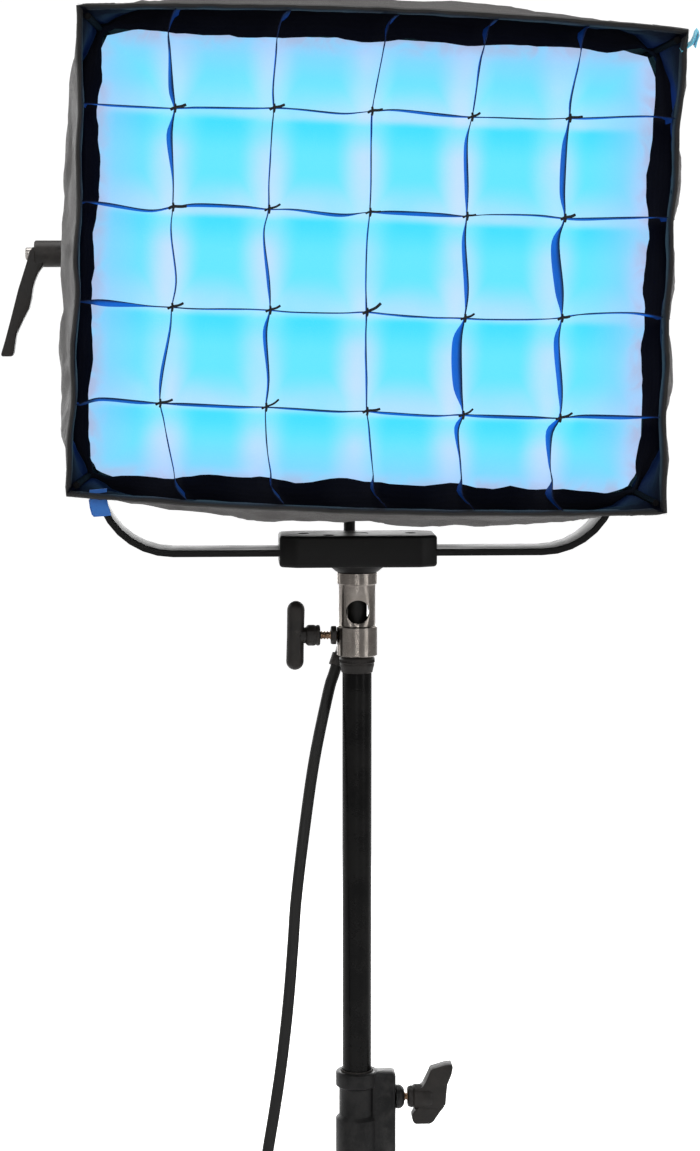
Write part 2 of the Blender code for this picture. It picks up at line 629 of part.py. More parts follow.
# ---- light head ----
def trunnion(side, sign, tip, head):
    """Round boss on the housing's side, with the stud that passes through the yoke's arm."""
    face = HALF_HOUSING[0] + GAP
    shoulder = ARM_INNER - GAP
    profile = [
        (0, tip), (STUD_RADIUS - 0.0008, tip), (STUD_RADIUS, tip - 0.0008), (STUD_RADIUS, shoulder),
        (0.016, shoulder), (0.016, face + 0.006), (0.028, face + 0.006), (0.028, face), (0, face),
    ]
    turn = ALONG_X if sign > 0 else (0, -math.pi / 2, 0)
    turned(f"trunnion_{side}", profile, "satin_nickel", head, rotation=turn)


def frame_plate(name, outer, inner, front, rear, finish, parent, centre_z):
    middle = (0, (front + rear) / 2, centre_z)
    return flat(name, [rectangle(*outer), rectangle(*inner)], rear - front, finish, parent, middle, UPRIGHT)


def fixture(head):
    """Housing, optics, electronics and their covers, about the head's centre."""
    width, height = HALF_HOUSING
    middle = -HEAD_DROP
    opening = (HOUSING_WIDTH - 2 * HOUSING_WALL, HOUSING_HEIGHT - 2 * HOUSING_WALL)
    frame_plate("housing", (HOUSING_WIDTH, HOUSING_HEIGHT), opening, HOUSING_FRONT, HOUSING_REAR,
                "black_paint", head, middle)
    window = (HOUSING_WIDTH - 2 * BEZEL_BORDER, HOUSING_HEIGHT - 2 * BEZEL_BORDER)
    frame_plate("front_bezel", (HOUSING_WIDTH, HOUSING_HEIGHT), window, HOUSING_FRONT - GAP - BEZEL_DEPTH,
                HOUSING_FRONT - GAP, "black_paint", head, middle)
    x, z = opening[0] / 2 - GAP, opening[1] / 2 - GAP
    panel_rear = HOUSING_FRONT + 0.003
    box("mixing_panel", (-x, HOUSING_FRONT, middle - z), (x, panel_rear, middle + z), "white_plastic", head)
    board_front = HOUSING_FRONT + 0.053
    board = (HOUSING_WIDTH - 0.060, HOUSING_HEIGHT - 0.060)
    rim = 0.0012
    chamber(x, z, panel_rear + GAP + rim, board, board_front - GAP - rim, middle, head)
    box("led_board", (-board[0] / 2, board_front, middle - board[1] / 2),
        (board[0] / 2, board_front + 0.002, middle + board[1] / 2), "board_green", head)
    heat_sink(board, board_front + 0.002 + GAP, HOUSING_REAR - 0.004, middle, head)
    cover_front = HOUSING_REAR + GAP
    cover_rear = cover_front + COVER_THICKNESS
    slots = []
    for n in range(9):
        slots.append(rectangle(0.010, 0.110, (-0.136 + 0.034 * n, 0.055)))
    flat("rear_cover", [rectangle(HOUSING_WIDTH, HOUSING_HEIGHT), *slots], COVER_THICKNESS, "black_paint", head,
         (0, (cover_front + cover_rear) / 2, middle), UPRIGHT)
    rear_case(cover_rear + GAP, middle, head)
    trunnion("left", -1, STUD_TIP, head)
    trunnion("right", 1, ARM_OUTER + 0.0095, head)
    nut_low, nut_high = ARM_OUTER + GAP, ARM_OUTER + 0.0085
    ring("pivot_nut", 0.0100, STUD_RADIUS + GAP, nut_low, nut_high, "satin_nickel", head, rotation=ALONG_X)


def chamber(half_x, half_z, front, board, rear, middle, head):
    """White tray that spreads the light: an open square funnel with a wall of its own."""
    shape = bmesh.new()
    bmesh.ops.create_cube(shape, size=2)
    ends = [face for face in shape.faces if abs(face.normal.y) > 0.5]
    bmesh.ops.delete(shape, geom=ends, context="FACES_ONLY")
    for vertex in shape.verts:
        at_rear = vertex.co.y > 0
        vertex.co.x *= board[0] / 2 if at_rear else half_x
        vertex.co.z *= board[1] / 2 if at_rear else half_z
        vertex.co.y = rear if at_rear else front
    data = bpy.data.meshes.new("mixing_chamber")
    shape.to_mesh(data)
    shape.free()
    made = place("mixing_chamber", data, "white_plastic", head, (0, 0, middle))
    wall = made.modifiers.new("wall", "SOLIDIFY")
    wall.thickness = 0.0015
    wall.offset = -1
    wall.use_rim = True


def heat_sink(board, front, rear, middle, head):
    """Finned aluminium section, drawn in plan and run the height of the board."""
    base, fin, count = 0.006, 0.004, 11
    left = -board[0] / 2
    pitch = (board[0] - fin) / (count - 1)
    outline = [(left, front), (-left, front)]
    for n in reversed(range(count)):
        x = left + n * pitch
        outline += [(x + fin, front + base), (x + fin, rear), (x, rear), (x, front + base)]
    outline.remove((left, front + base))
    outline.remove((left + (count - 1) * pitch + fin, front + base))
    flat("heat_sink", [outline], board[1] - 0.010, "aluminium", head, (0, 0, middle))


def rear_case(front, middle, head):
    """Electronics case with its panel, display, dial, switch opening and cable inlet."""
    low = middle - HOUSING_HEIGHT / 2 + 0.004
    high = low + CASE_HEIGHT
    half = CASE_WIDTH / 2
    case = box("electronics_case", (-half, front, low), (half, CASE_REAR, high), "black_plastic", head, 0.003)
    inlet = (INLET_OFFSET, 0, middle - INLET_DROP)
    socket = rod("inlet_cutter", 0.0110, CASE_REAR - 0.012, CASE_REAR + 0.01, None, head, inlet, ALONG_Y)
    cut(case, socket)
    mid_z = (low + high) / 2
    panel_front = CASE_REAR + GAP
    panel_rear = panel_front + 0.002
    flat("control_panel", [rectangle(0.150, 0.080), rectangle(0.060, 0.034, (-0.030, 0.012)),
                                   rectangle(0.0166, 0.0116, (0.050, -0.020))], 0.002,
                 "black_paint", head, (0.030, (panel_front + panel_rear) / 2, mid_z), UPRIGHT)
    box("display", (-0.030 + GAP, panel_front, mid_z - 0.005 + GAP),
        (0.030 - GAP, panel_rear - 0.0003, mid_z + 0.029 - GAP), "display_glass", head, 0.0005)
    plug = [
        (0, 0.066), (CABLE_RADIUS + 0.0016, 0.066), (CABLE_RADIUS + 0.0022, 0.050), (0.0105, 0.046),
        (0.0130, 0.040), (0.0130, 0.0003), (0.0105, 0.0003), (0.0105, -0.010), (0, -0.010),
    ]
    at = (INLET_OFFSET, CASE_REAR, middle - INLET_DROP)
    turned("inlet_plug", plug, "black_plastic", head, at, ALONG_Y)
    dial_at = (0.080, panel_rear + GAP, mid_z + 0.016)
    dial = empty("dial_axis", head, dial_at)
    turned("dial_knob", [(0, 0.013), (0.0088, 0.013), (0.0095, 0.012), (0.0100, 0), (0, 0)],
           "black_plastic", dial, rotation=ALONG_Y)
    switch_at = (0.080, panel_rear, mid_z - 0.020)
    switch = empty("switch_axis", head, switch_at)
    box("power_switch", (-0.0078, -0.0012, -0.0052), (0.0078, 0.0025, 0.0052), "black_plastic", switch, 0.0008)


# ---- softbox ----
def wall_outline(depth, inset, segments=8):
    """The fabric wall's outline at a depth behind the front edge: sides bow out between the corners."""
    share = depth / SOFTBOX_DEPTH
    half_x = (SOFTBOX_WIDTH + (CUFF[0] - SOFTBOX_WIDTH) * share) / 2 - inset
    half_z = (SOFTBOX_HEIGHT + (CUFF[1] - SOFTBOX_HEIGHT) * share) / 2 - inset
    bow = BULGE * math.sin(math.pi * share) ** 0.8 if 0 < share < 1 else 0.0
    outline = []
    for side in range(4):
        along, across = (half_x, half_z) if side % 2 == 0 else (half_z, half_x)
        for n in range(segments):
            t = 2 * n / segments - 1
            out = across + bow * (1 - t ** 4)
            x, z = t * along, -out
            for _ in range(side):
                x, z = -z, x
            outline.append((x, z))
    return outline


def softbox_shell(roll):
    """Fabric wall: the loft through its outlines, with the cloth's thickness inside."""
    steps = 6
    rows = [wall_outline(SOFTBOX_DEPTH * n / steps, 0) for n in range(steps + 1)]
    count = len(rows[0])
    points = []
    for n, row in enumerate(rows):
        y = SOFTBOX_FRONT + SOFTBOX_DEPTH * n / steps
        points += [(x, y, z) for x, z in row]
    faces = []
    for n in range(steps):
        for m in range(count):
            after = (m + 1) % count
            faces.append((n * count + m, n * count + after, (n + 1) * count + after, (n + 1) * count + m))
    data = bpy.data.meshes.new("softbox_shell")
    data.from_pydata(points, [], faces)
    shape = bmesh.new()
    shape.from_mesh(data)
    bmesh.ops.recalc_face_normals(shape, faces=shape.faces)
    shape.to_mesh(data)
    shape.free()
    made = place("softbox_shell", data, "softbox_fabric", roll)
    cloth = made.modifiers.new("cloth", "SOLIDIFY")
    cloth.thickness = FABRIC
    cloth.offset = -1
    cloth.use_rim = True


def corner_cut(outline, reach_x, reach_z):
    """Pulls an outline's corners in, so that the rods pass outside it."""
    return [
        (x * 0.965, z * 0.955) if abs(x) > reach_x and abs(z) > reach_z else (x, z)
        for x, z in outline
    ]


def softbox_inside(roll):
    front = SOFTBOX_FRONT + DIFFUSER_SETBACK
    outline = wall_outline(DIFFUSER_SETBACK, FABRIC + 0.0010)
    white = rectangle(DIFFUSER[0] - 2 * GAP, DIFFUSER[1] - 2 * GAP)
    hole = rectangle(DIFFUSER[0], DIFFUSER[1])
    notch_x, notch_z = 0.034, 0.026
    white = notched(white, notch_x, notch_z)
    hole = notched(hole, notch_x, notch_z)
    border = corner_cut(outline, 0.88 * SOFTBOX_WIDTH / 2, 0.88 * SOFTBOX_HEIGHT / 2)
    flat("diffuser", [white], 0.0012, "diffuser_cloth", roll, (0, front, 0), UPRIGHT)
    flat("diffuser_border", [border, hole], 0.0012, "softbox_fabric", roll, (0, front, 0), UPRIGHT)
    grid_front = SOFTBOX_FRONT + 0.002
    half_x = SOFTBOX_WIDTH / 2 - FABRIC - 0.0025
    half_z = SOFTBOX_HEIGHT / 2 - FABRIC - 0.0025
    rear = grid_front + GRID_DEPTH
    uprights = [-half_x + 2 * half_x * n / GRID_COLUMNS for n in range(1, GRID_COLUMNS)]
    levels = [-half_z + 2 * half_z * n / GRID_ROWS for n in range(1, GRID_ROWS)]
    thick = GRID_STRIP / 2
    grid = None
    for n, x in enumerate(uprights):
        low, high = (x - thick, grid_front, -half_z), (x + thick, rear, half_z)
        if grid is None:
            grid = box("egg_crate_grid", low, high, "grid_cloth", roll)
        else:
            join(grid, box(f"grid_upright_{n}", low, high, None, roll))
    for n, z in enumerate(levels):
        low, high = (-half_x, grid_front + 0.0005, z - thick), (half_x, rear - 0.0005, z + thick)
        join(grid, box(f"grid_level_{n}", low, high, None, roll))


def notched(outline, x_cut, z_cut):
    """A rectangle with its corners cut off at a slant."""
    points = []
    for (x, z), swap in zip(outline, (True, False, True, False)):
        side_x = (x - math.copysign(x_cut, x), z)
        side_z = (x, z - math.copysign(z_cut, z))
        points += [side_z, side_x] if swap else [side_x, side_z]
    return points


def softbox_frame(roll):
    """Mounting frame round the bezel, and the four springy rods that spread the front corners."""
    outer = (CUFF[0] - 2 * (FABRIC + GAP) - 0.0006, CUFF[1] - 2 * (FABRIC + GAP) - 0.0006)
    inner = (outer[0] - 2 * FRAME_WALL, outer[1] - 2 * FRAME_WALL)
    frame_plate("mounting_frame", outer, inner, SOFTBOX_REAR - FRAME_DEPTH, SOFTBOX_REAR, "black_plastic",
                roll, 0)
    start_y = SOFTBOX_REAR - FRAME_DEPTH - GAP
    start_x, start_z = outer[0] / 2 - ROD_RADIUS, outer[1] / 2 - ROD_RADIUS
    end_x, end_z = SOFTBOX_WIDTH / 2 - 0.0065, SOFTBOX_HEIGHT / 2 - 0.0065
    for name, sx, sz in (("top_left", -1, 1), ("top_right", 1, 1), ("bottom_left", -1, -1),
                         ("bottom_right", 1, -1)):
        first = (sx * start_x, start_y - 0.001, sz * start_z)
        last = (sx * end_x, SOFTBOX_FRONT + 0.004, sz * end_z)
        tube(f"corner_rod_{name}", [first, last], ROD_RADIUS, "fibreglass", roll, 0.2)


def pull_tabs(roll):
    x, z = SOFTBOX_WIDTH / 2 + GAP, SOFTBOX_HEIGHT / 2
    box("pull_tab", (x, SOFTBOX_FRONT + 0.001, z - 0.0150), (x + 0.0075, SOFTBOX_FRONT + 0.013, z - 0.0015),
        "cyan_webbing", roll)
    strap_top = -z - 0.0030
    strap_x = 0.029 - x
    box("hanging_strap", (strap_x - 0.0140, SOFTBOX_FRONT + 0.001, strap_top - 0.0120),
        (strap_x, SOFTBOX_FRONT + 0.004, strap_top), "blue_webbing", roll)


# ---- cable ----
def cable(stand):
    spacing = 5 * CABLE_RADIUS
    tube("power_cable_upper", UPPER_CABLE, CABLE_RADIUS, "rubber", stand, spacing)
    tube("power_cable_middle", MIDDLE_CABLE, CABLE_RADIUS, "rubber", stand, spacing)
    tube("power_cable_lower", LOWER_CABLE, CABLE_RADIUS, "rubber", stand, spacing)
    tube("power_cable_tail", TAIL_CABLE, CABLE_RADIUS, "rubber", stand, spacing)
    half = COIL_COLUMNS * CABLE_RADIUS
    ring("cable_coil", COIL_RADIUS + half, COIL_RADIUS - half, 0, 2 * COIL_LAYERS * CABLE_RADIUS, "rubber",
         stand, (*COIL_CENTRE, 0), steps=24)
    tail_end = Vector(TAIL_CABLE[-1])
    along = (tail_end - Vector(TAIL_CABLE[-2])).normalized()
    heading = math.atan2(along.y, along.x)
    half_plug = PLUG_LENGTH / 2
    profile = [
        (0, half_plug), (PLUG_RADIUS - 0.001, half_plug), (PLUG_RADIUS, half_plug - 0.001),
        (PLUG_RADIUS, -0.002), (0.0130, -0.010), (CABLE_RADIUS + 0.0030, -0.018),
        (CABLE_RADIUS + 0.0015, -half_plug), (0, -half_plug),
    ]
    turn = (0, math.pi / 2, heading)
    at = tail_end + along * (half_plug + 3 * GAP)
    plug = turned("mains_plug", profile, "rubber", stand, at, turn)
    for name, side in (("plug_pin_left", -1), ("plug_pin_right", 1)):
        offset = Vector((-math.sin(heading), math.cos(heading), 0)) * 0.0095 * side
        pin = rod(name, 0.0024, half_plug - 0.004, half_plug + 0.019, None, stand, at + offset, turn,
                  steps=12)
        join(plug, pin)


def build():
    stand = empty("stand_axis", None, (0, STAND_Y, 0))
    column(stand)
    names = ("leg_back_right", "leg_back_left", "leg_front")
    for n, (name, angle) in enumerate(zip(names, LEG_FOLD_START)):
        leg(name, angle, HUB_LOWEST + n * (HUB_HEIGHT + GAP), stand)
    collar(stand)
    collar_knob(empty("collar_knob_axis", stand, (0, 0, COLLAR_KNOB_Z)))
    slide = empty("riser_slide", stand, (0, 0, RISER_TOP))
    riser(slide)
    yoke = empty("pan_axis", stand)
    hole = clamp_block(yoke)
    yoke_bar(yoke, hole)
    receiver(yoke)
    lock_knob(empty("lock_knob_axis", stand, (0, 0, LOCK_Z)))
    tilt_lever(empty("tilt_lever_axis", stand, (0, 0, TILT_HEIGHT)))
    head = empty("tilt_axis", stand, (0, 0, TILT_HEIGHT))
    fixture(head)
    roll = empty("softbox_roll", head, (0, 0, -HEAD_DROP), (0, SOFTBOX_ROLL, 0))
    softbox_shell(roll)
    softbox_inside(roll)
    softbox_frame(roll)
    pull_tabs(roll)
    cable(stand)


clear_scene()
PARTS = new_collection("strip_softbox")
CUTTERS = new_collection("cutters")
build()
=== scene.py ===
import json
import math
import random

import bpy
from mathutils import Matrix, Vector, noise

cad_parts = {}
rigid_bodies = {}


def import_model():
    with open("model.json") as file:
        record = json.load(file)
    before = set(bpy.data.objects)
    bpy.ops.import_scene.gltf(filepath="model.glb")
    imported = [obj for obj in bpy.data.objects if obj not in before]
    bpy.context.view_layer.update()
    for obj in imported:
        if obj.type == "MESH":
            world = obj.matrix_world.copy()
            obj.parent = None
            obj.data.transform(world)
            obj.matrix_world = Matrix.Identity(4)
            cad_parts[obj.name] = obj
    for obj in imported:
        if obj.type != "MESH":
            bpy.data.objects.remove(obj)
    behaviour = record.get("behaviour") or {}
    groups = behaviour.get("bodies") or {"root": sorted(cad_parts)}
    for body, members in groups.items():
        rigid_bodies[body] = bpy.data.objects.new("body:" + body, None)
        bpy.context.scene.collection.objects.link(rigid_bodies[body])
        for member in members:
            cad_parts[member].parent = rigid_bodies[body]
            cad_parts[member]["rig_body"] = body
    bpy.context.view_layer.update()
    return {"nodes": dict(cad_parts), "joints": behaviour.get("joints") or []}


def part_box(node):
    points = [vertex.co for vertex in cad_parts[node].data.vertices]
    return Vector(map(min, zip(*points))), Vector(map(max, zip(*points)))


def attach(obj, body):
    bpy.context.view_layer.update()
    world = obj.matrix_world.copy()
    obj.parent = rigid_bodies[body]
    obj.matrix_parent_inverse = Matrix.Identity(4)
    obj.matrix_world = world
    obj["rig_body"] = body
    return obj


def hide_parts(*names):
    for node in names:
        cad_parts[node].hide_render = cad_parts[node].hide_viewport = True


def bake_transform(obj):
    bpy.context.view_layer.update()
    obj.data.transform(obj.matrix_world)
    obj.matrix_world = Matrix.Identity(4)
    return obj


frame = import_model()
random.seed(11)
print("frame loaded:", len(frame["nodes"]), "nodes")

standY = sum(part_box("column_tube")[n].y for n in (0, 1)) / 2
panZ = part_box("receiver")[0].z
tiltZ = next(joint["pos_m"][2] for joint in frame["joints"] if joint["name"] == "tilt")


# picking, drawing and finishing
def pick(piece):
    bpy.ops.object.select_all(action="DESELECT")
    piece.select_set(True)
    bpy.context.view_layer.objects.active = piece


def editAll(piece):
    pick(piece)
    bpy.ops.object.mode_set(mode="EDIT")
    bpy.ops.mesh.select_all(action="SELECT")


def leaveEdit():
    bpy.ops.object.mode_set(mode="OBJECT")


mergeDistance = 0.00001


def closeSurface(piece, merge=mergeDistance):
    editAll(piece)
    bpy.ops.mesh.remove_doubles(threshold=merge)
    bpy.ops.mesh.normals_make_consistent(inside=False)
    leaveEdit()


def applyAll(piece):
    pick(piece)
    for modifier in list(piece.modifiers):
        bpy.ops.object.modifier_apply(modifier=modifier.name)


def settle(piece):
    pick(piece)
    bpy.ops.object.transform_apply(location=True, rotation=True, scale=True)
    return piece


def softenEdges(piece, width, segments=2, angle=32):
    edges = piece.modifiers.new("softenedEdges", "BEVEL")
    edges.width = width
    edges.segments = segments
    edges.limit_method = "ANGLE"
    edges.angle_limit = math.radians(angle)
    applyAll(piece)


def smooth(piece, angle=38):
    pick(piece)
    bpy.ops.object.shade_smooth_by_angle(angle=math.radians(angle))


def finishPiece(piece, body, finish, replaced=(), angle=38):
    settle(piece)
    if angle:
        smooth(piece, angle)
    piece.data.materials.clear()
    piece.data.materials.append(finish)
    if replaced:
        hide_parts(*replaced)
    if body:
        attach(piece, body)
    return piece


def drawnLine(name, points, closed=False, radius=0.0, sides=4):
    # a radius above zero makes a tube with capped ends
    line = bpy.data.curves.new(name, "CURVE")
    line.dimensions = "3D"
    if radius:
        line.bevel_depth = radius
        line.bevel_resolution = sides
        line.use_fill_caps = True
    spline = line.splines.new("POLY")
    spline.points.add(len(points) - 1)
    for spot, place in zip(spline.points, points):
        spot.co = (*place, 1)
    spline.use_cyclic_u = closed
    piece = bpy.data.objects.new(name, line)
    bpy.context.scene.collection.objects.link(piece)
    pick(piece)
    bpy.ops.object.convert(target="MESH")
    return bpy.context.object


axisTurns = {"x": (0, math.pi / 2, 0), "y": (-math.pi / 2, 0, 0), "z": (0, 0, 0)}


def turnedPiece(name, profile, place, axis="z", steps=48, closed=False):
    # profile holds (radius, height) points; the height runs along the axis
    piece = drawnLine(name, [(radius, 0, height) for radius, height in profile], closed)
    editAll(piece)
    bpy.ops.mesh.spin(steps=steps, angle=2 * math.pi, center=(0, 0, 0), axis=(0, 0, 1))
    leaveEdit()
    closeSurface(piece)
    piece.rotation_euler = axisTurns[axis]
    piece.location = place
    return settle(piece)


def cutPlate(name, outline, thickness):
    # outline holds 3-D points on one plane; thickness is the vector to the other side
    piece = drawnLine(name, outline, True)
    editAll(piece)
    bpy.ops.mesh.edge_face_add()
    bpy.ops.mesh.extrude_region_move(TRANSFORM_OT_translate={"value": thickness})
    leaveEdit()
    closeSurface(piece)
    return piece


def roundedBlock(name, low, high, edge, segments=3):
    low, high = Vector(low), Vector(high)
    bpy.ops.mesh.primitive_cube_add(size=1, location=(low + high) / 2)
    piece = bpy.context.object
    piece.name = name
    piece.scale = high - low
    settle(piece)
    softenEdges(piece, edge, segments)
    return piece


def cutWith(piece, cutter, operation="DIFFERENCE"):
    change = piece.modifiers.new("cut", "BOOLEAN")
    change.operation = operation
    change.object = cutter
    change.solver = "EXACT"
    applyAll(piece)
    bpy.data.objects.remove(cutter)


def joined(name, pieces):
    pick(pieces[0])
    for piece in pieces:
        piece.select_set(True)
    bpy.ops.object.join()
    pieces[0].name = name
    return pieces[0]


def weldedCopy(node, name, edge=0.0006, segments=2, angle=32):
    # the CAD node's shape with its triangles merged into faces and its edges softened
    pick(frame["nodes"][node])
    bpy.ops.object.duplicate()
    piece = bpy.context.object
    for key in [key for key in piece.keys() if key.startswith("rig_")]:
        del piece[key]
    bpy.ops.object.parent_clear(type="CLEAR_KEEP_TRANSFORM")
    piece.name = name
    editAll(piece)
    bpy.ops.mesh.remove_doubles(threshold=mergeDistance)
    bpy.ops.mesh.dissolve_limited(angle_limit=math.radians(0.6))
    leaveEdit()
    if edge:
        softenEdges(piece, edge, segments, angle)
    return piece


def smoothRoute(points, spacing):
    knots = [Vector(point) for point in points]
    knots = [2 * knots[0] - knots[1], *knots, 2 * knots[-1] - knots[-2]]
    dense = []
    for before, start, end, after in zip(knots, knots[1:], knots[2:], knots[3:]):
        for step in range(20):
            t = step / 20
            dense.append(0.5 * (2 * start + (end - before) * t
                                + (2 * before - 5 * start + 4 * end - after) * t ** 2
                                + (3 * start - before - 3 * end + after) * t ** 3))
    dense.append(knots[-2])
    lengths = [0.0]
    for first, second in zip(dense, dense[1:]):
        lengths.append(lengths[-1] + (second - first).length)
    count = max(2, round(lengths[-1] / spacing))
    route, n = [], 0
    for step in range(count + 1):
        want = lengths[-1] * step / count
        while n < len(dense) - 2 and lengths[n + 1] < want:
            n += 1
        share = (want - lengths[n]) / (lengths[n + 1] - lengths[n])
        route.append(dense[n].lerp(dense[n + 1], share))
    return route


def tubeAlong(name, route, radius, sides=4):
    piece = drawnLine(name, route, radius=radius, sides=sides)
    closeSurface(piece)
    return piece


def routeLength(route):
    return sum((second - first).length for first, second in zip(route, route[1:]))


# materials
def newMaterial(name):
    made = bpy.data.materials.new(name)
    made.use_nodes = True
    return made, made.node_tree, made.node_tree.nodes["Principled BSDF"]


def addNode(tree, kind, inputs=None, **settings):
    node = tree.nodes.new("ShaderNode" + kind)
    for key, value in settings.items():
        setattr(node, key, value)
    for key, value in (inputs or {}).items():
        if isinstance(value, bpy.types.NodeSocket):
            tree.links.new(value, node.inputs[key])
        else:
            node.inputs[key].default_value = value
    return node


def blendColours(tree, share, first, second):
    first, second = ((*c, 1) if isinstance(c, tuple) else c for c in (first, second))
    return addNode(tree, "Mix", {0: share, 6: first, 7: second}, data_type="RGBA").outputs[2]


def reckon(tree, operation, first, second=0.0, third=0.0, clamp=False):
    node = addNode(tree, "Math", {0: first, 1: second, 2: third}, operation=operation, use_clamp=clamp)
    return node.outputs[0]


def ramp(tree, value, low, high, fromLow=0.0, fromHigh=1.0, ease="SMOOTHSTEP"):
    node = addNode(tree, "MapRange", {"Value": value, "From Min": low, "From Max": high,
                                      "To Min": fromLow, "To Max": fromHigh}, interpolation_type=ease)
    return node.outputs[0]


def wornFinish(name, look):
    # a moulded, painted or machined surface: cloudy colour, fine grain, turning lines, worn edges
    made, tree, shader = newMaterial(name)
    place = addNode(tree, "TexCoord").outputs["Object"]
    cloud = addNode(tree, "TexNoise", {"Vector": place, "Scale": look["cloudScale"], "Detail": 6.0,
                                       "Roughness": 0.62}).outputs["Fac"]
    colour = blendColours(tree, ramp(tree, cloud, 0.36, 0.66), look["colour"], look["cloudColour"])
    low, high = look["roughness"]
    rough = ramp(tree, cloud, 0.30, 0.70, low, high)
    grain = addNode(tree, "TexNoise",
                    {"Vector": place, "Scale": look["grainScale"], "Detail": 3.0}).outputs["Fac"]
    height = reckon(tree, "MULTIPLY", grain, look["grainDepth"])
    if "lines" in look:
        turned = addNode(tree, "TexWave", {"Vector": place, "Scale": look["lineScale"], "Distortion": 0.6,
                                           "Detail": 3.0, "Detail Scale": 2.5},
                         wave_type="BANDS", bands_direction=look["lines"]).outputs["Fac"]
        height = reckon(tree, "MULTIPLY_ADD", turned, look["lineDepth"], height)
        rough = reckon(tree, "MULTIPLY_ADD", turned, 0.10, rough)
    if "scuffColour" in look:
        stretched = addNode(tree, "Mapping", {"Vector": place, "Scale": look["scuffStretch"]}).outputs[0]
        marks = addNode(tree, "TexNoise", {"Vector": stretched, "Scale": 55.0, "Detail": 8.0,
                                           "Roughness": 0.7}).outputs["Fac"]
        share = reckon(tree, "MULTIPLY", ramp(tree, marks, 0.62, 0.72), look["scuffShare"])
        colour = blendColours(tree, share, colour, look["scuffColour"])
        edge = addNode(tree, "NewGeometry").outputs["Pointiness"]
        worn = reckon(tree, "MULTIPLY", ramp(tree, edge, 0.53, 0.62),
                      ramp(tree, cloud, 0.40, 0.62, 0.0, look["wear"]))
        colour = blendColours(tree, worn, colour, look["scuffColour"])
    bump = addNode(tree, "Bump", {"Height": height, "Strength": 0.6, "Distance": 0.0004}).outputs[0]
    tree.links.new(colour, shader.inputs["Base Color"])
    tree.links.new(rough, shader.inputs["Roughness"])
    tree.links.new(bump, shader.inputs["Normal"])
    shader.inputs["Metallic"].default_value = look.get("metal", 0.0)
    shader.inputs["Specular IOR Level"].default_value = look.get("specular", 0.5)
    shader.inputs["Coat Weight"].default_value = look.get("coat", 0.0)
    shader.inputs["Coat Roughness"].default_value = 0.25
    made.diffuse_color = (*look["colour"], 1)
    return made


def wovenFinish(name, look):
    # cloth: two thread directions from the piece's own UV map, which is in metres
    made, tree, shader = newMaterial(name)
    place = addNode(tree, "TexCoord").outputs["UV"]
    body = addNode(tree, "TexCoord").outputs["Object"]
    warp = addNode(tree, "TexWave", {"Vector": place, "Scale": look["threads"], "Distortion": 1.2},
                   bands_direction="X").outputs["Fac"]
    weft = addNode(tree, "TexWave", {"Vector": place, "Scale": look["threads"], "Distortion": 1.2},
                   bands_direction="Y").outputs["Fac"]
    weave = reckon(tree, "MAXIMUM", warp, weft)
    cloud = addNode(tree, "TexNoise",
                    {"Vector": body, "Scale": 14.0, "Detail": 7.0, "Roughness": 0.65}).outputs["Fac"]
    share = reckon(tree, "MULTIPLY_ADD", weave, 0.35, ramp(tree, cloud, 0.35, 0.70, 0.0, 0.65))
    colour = blendColours(tree, share, look["colour"], look["threadColour"])
    crease = addNode(tree, "TexNoise", {"Vector": body, "Scale": look["creaseScale"], "Detail": 8.0,
                                        "Roughness": 0.6, "Distortion": 0.8}).outputs["Fac"]
    height = reckon(tree, "MULTIPLY_ADD", crease, look["creaseDepth"], reckon(tree, "MULTIPLY", weave, 0.12))
    bump = addNode(tree, "Bump", {"Height": height, "Strength": 0.8, "Distance": 0.0012}).outputs[0]
    tree.links.new(colour, shader.inputs["Base Color"])
    tree.links.new(ramp(tree, cloud, 0.3, 0.7, look["roughness"] - 0.08, look["roughness"] + 0.06),
                   shader.inputs["Roughness"])
    tree.links.new(bump, shader.inputs["Normal"])
    shader.inputs["Sheen Weight"].default_value = look.get("sheen", 0.05)
    shader.inputs["Sheen Roughness"].default_value = 0.5
    made.diffuse_color = (*look["colour"], 1)
    return made


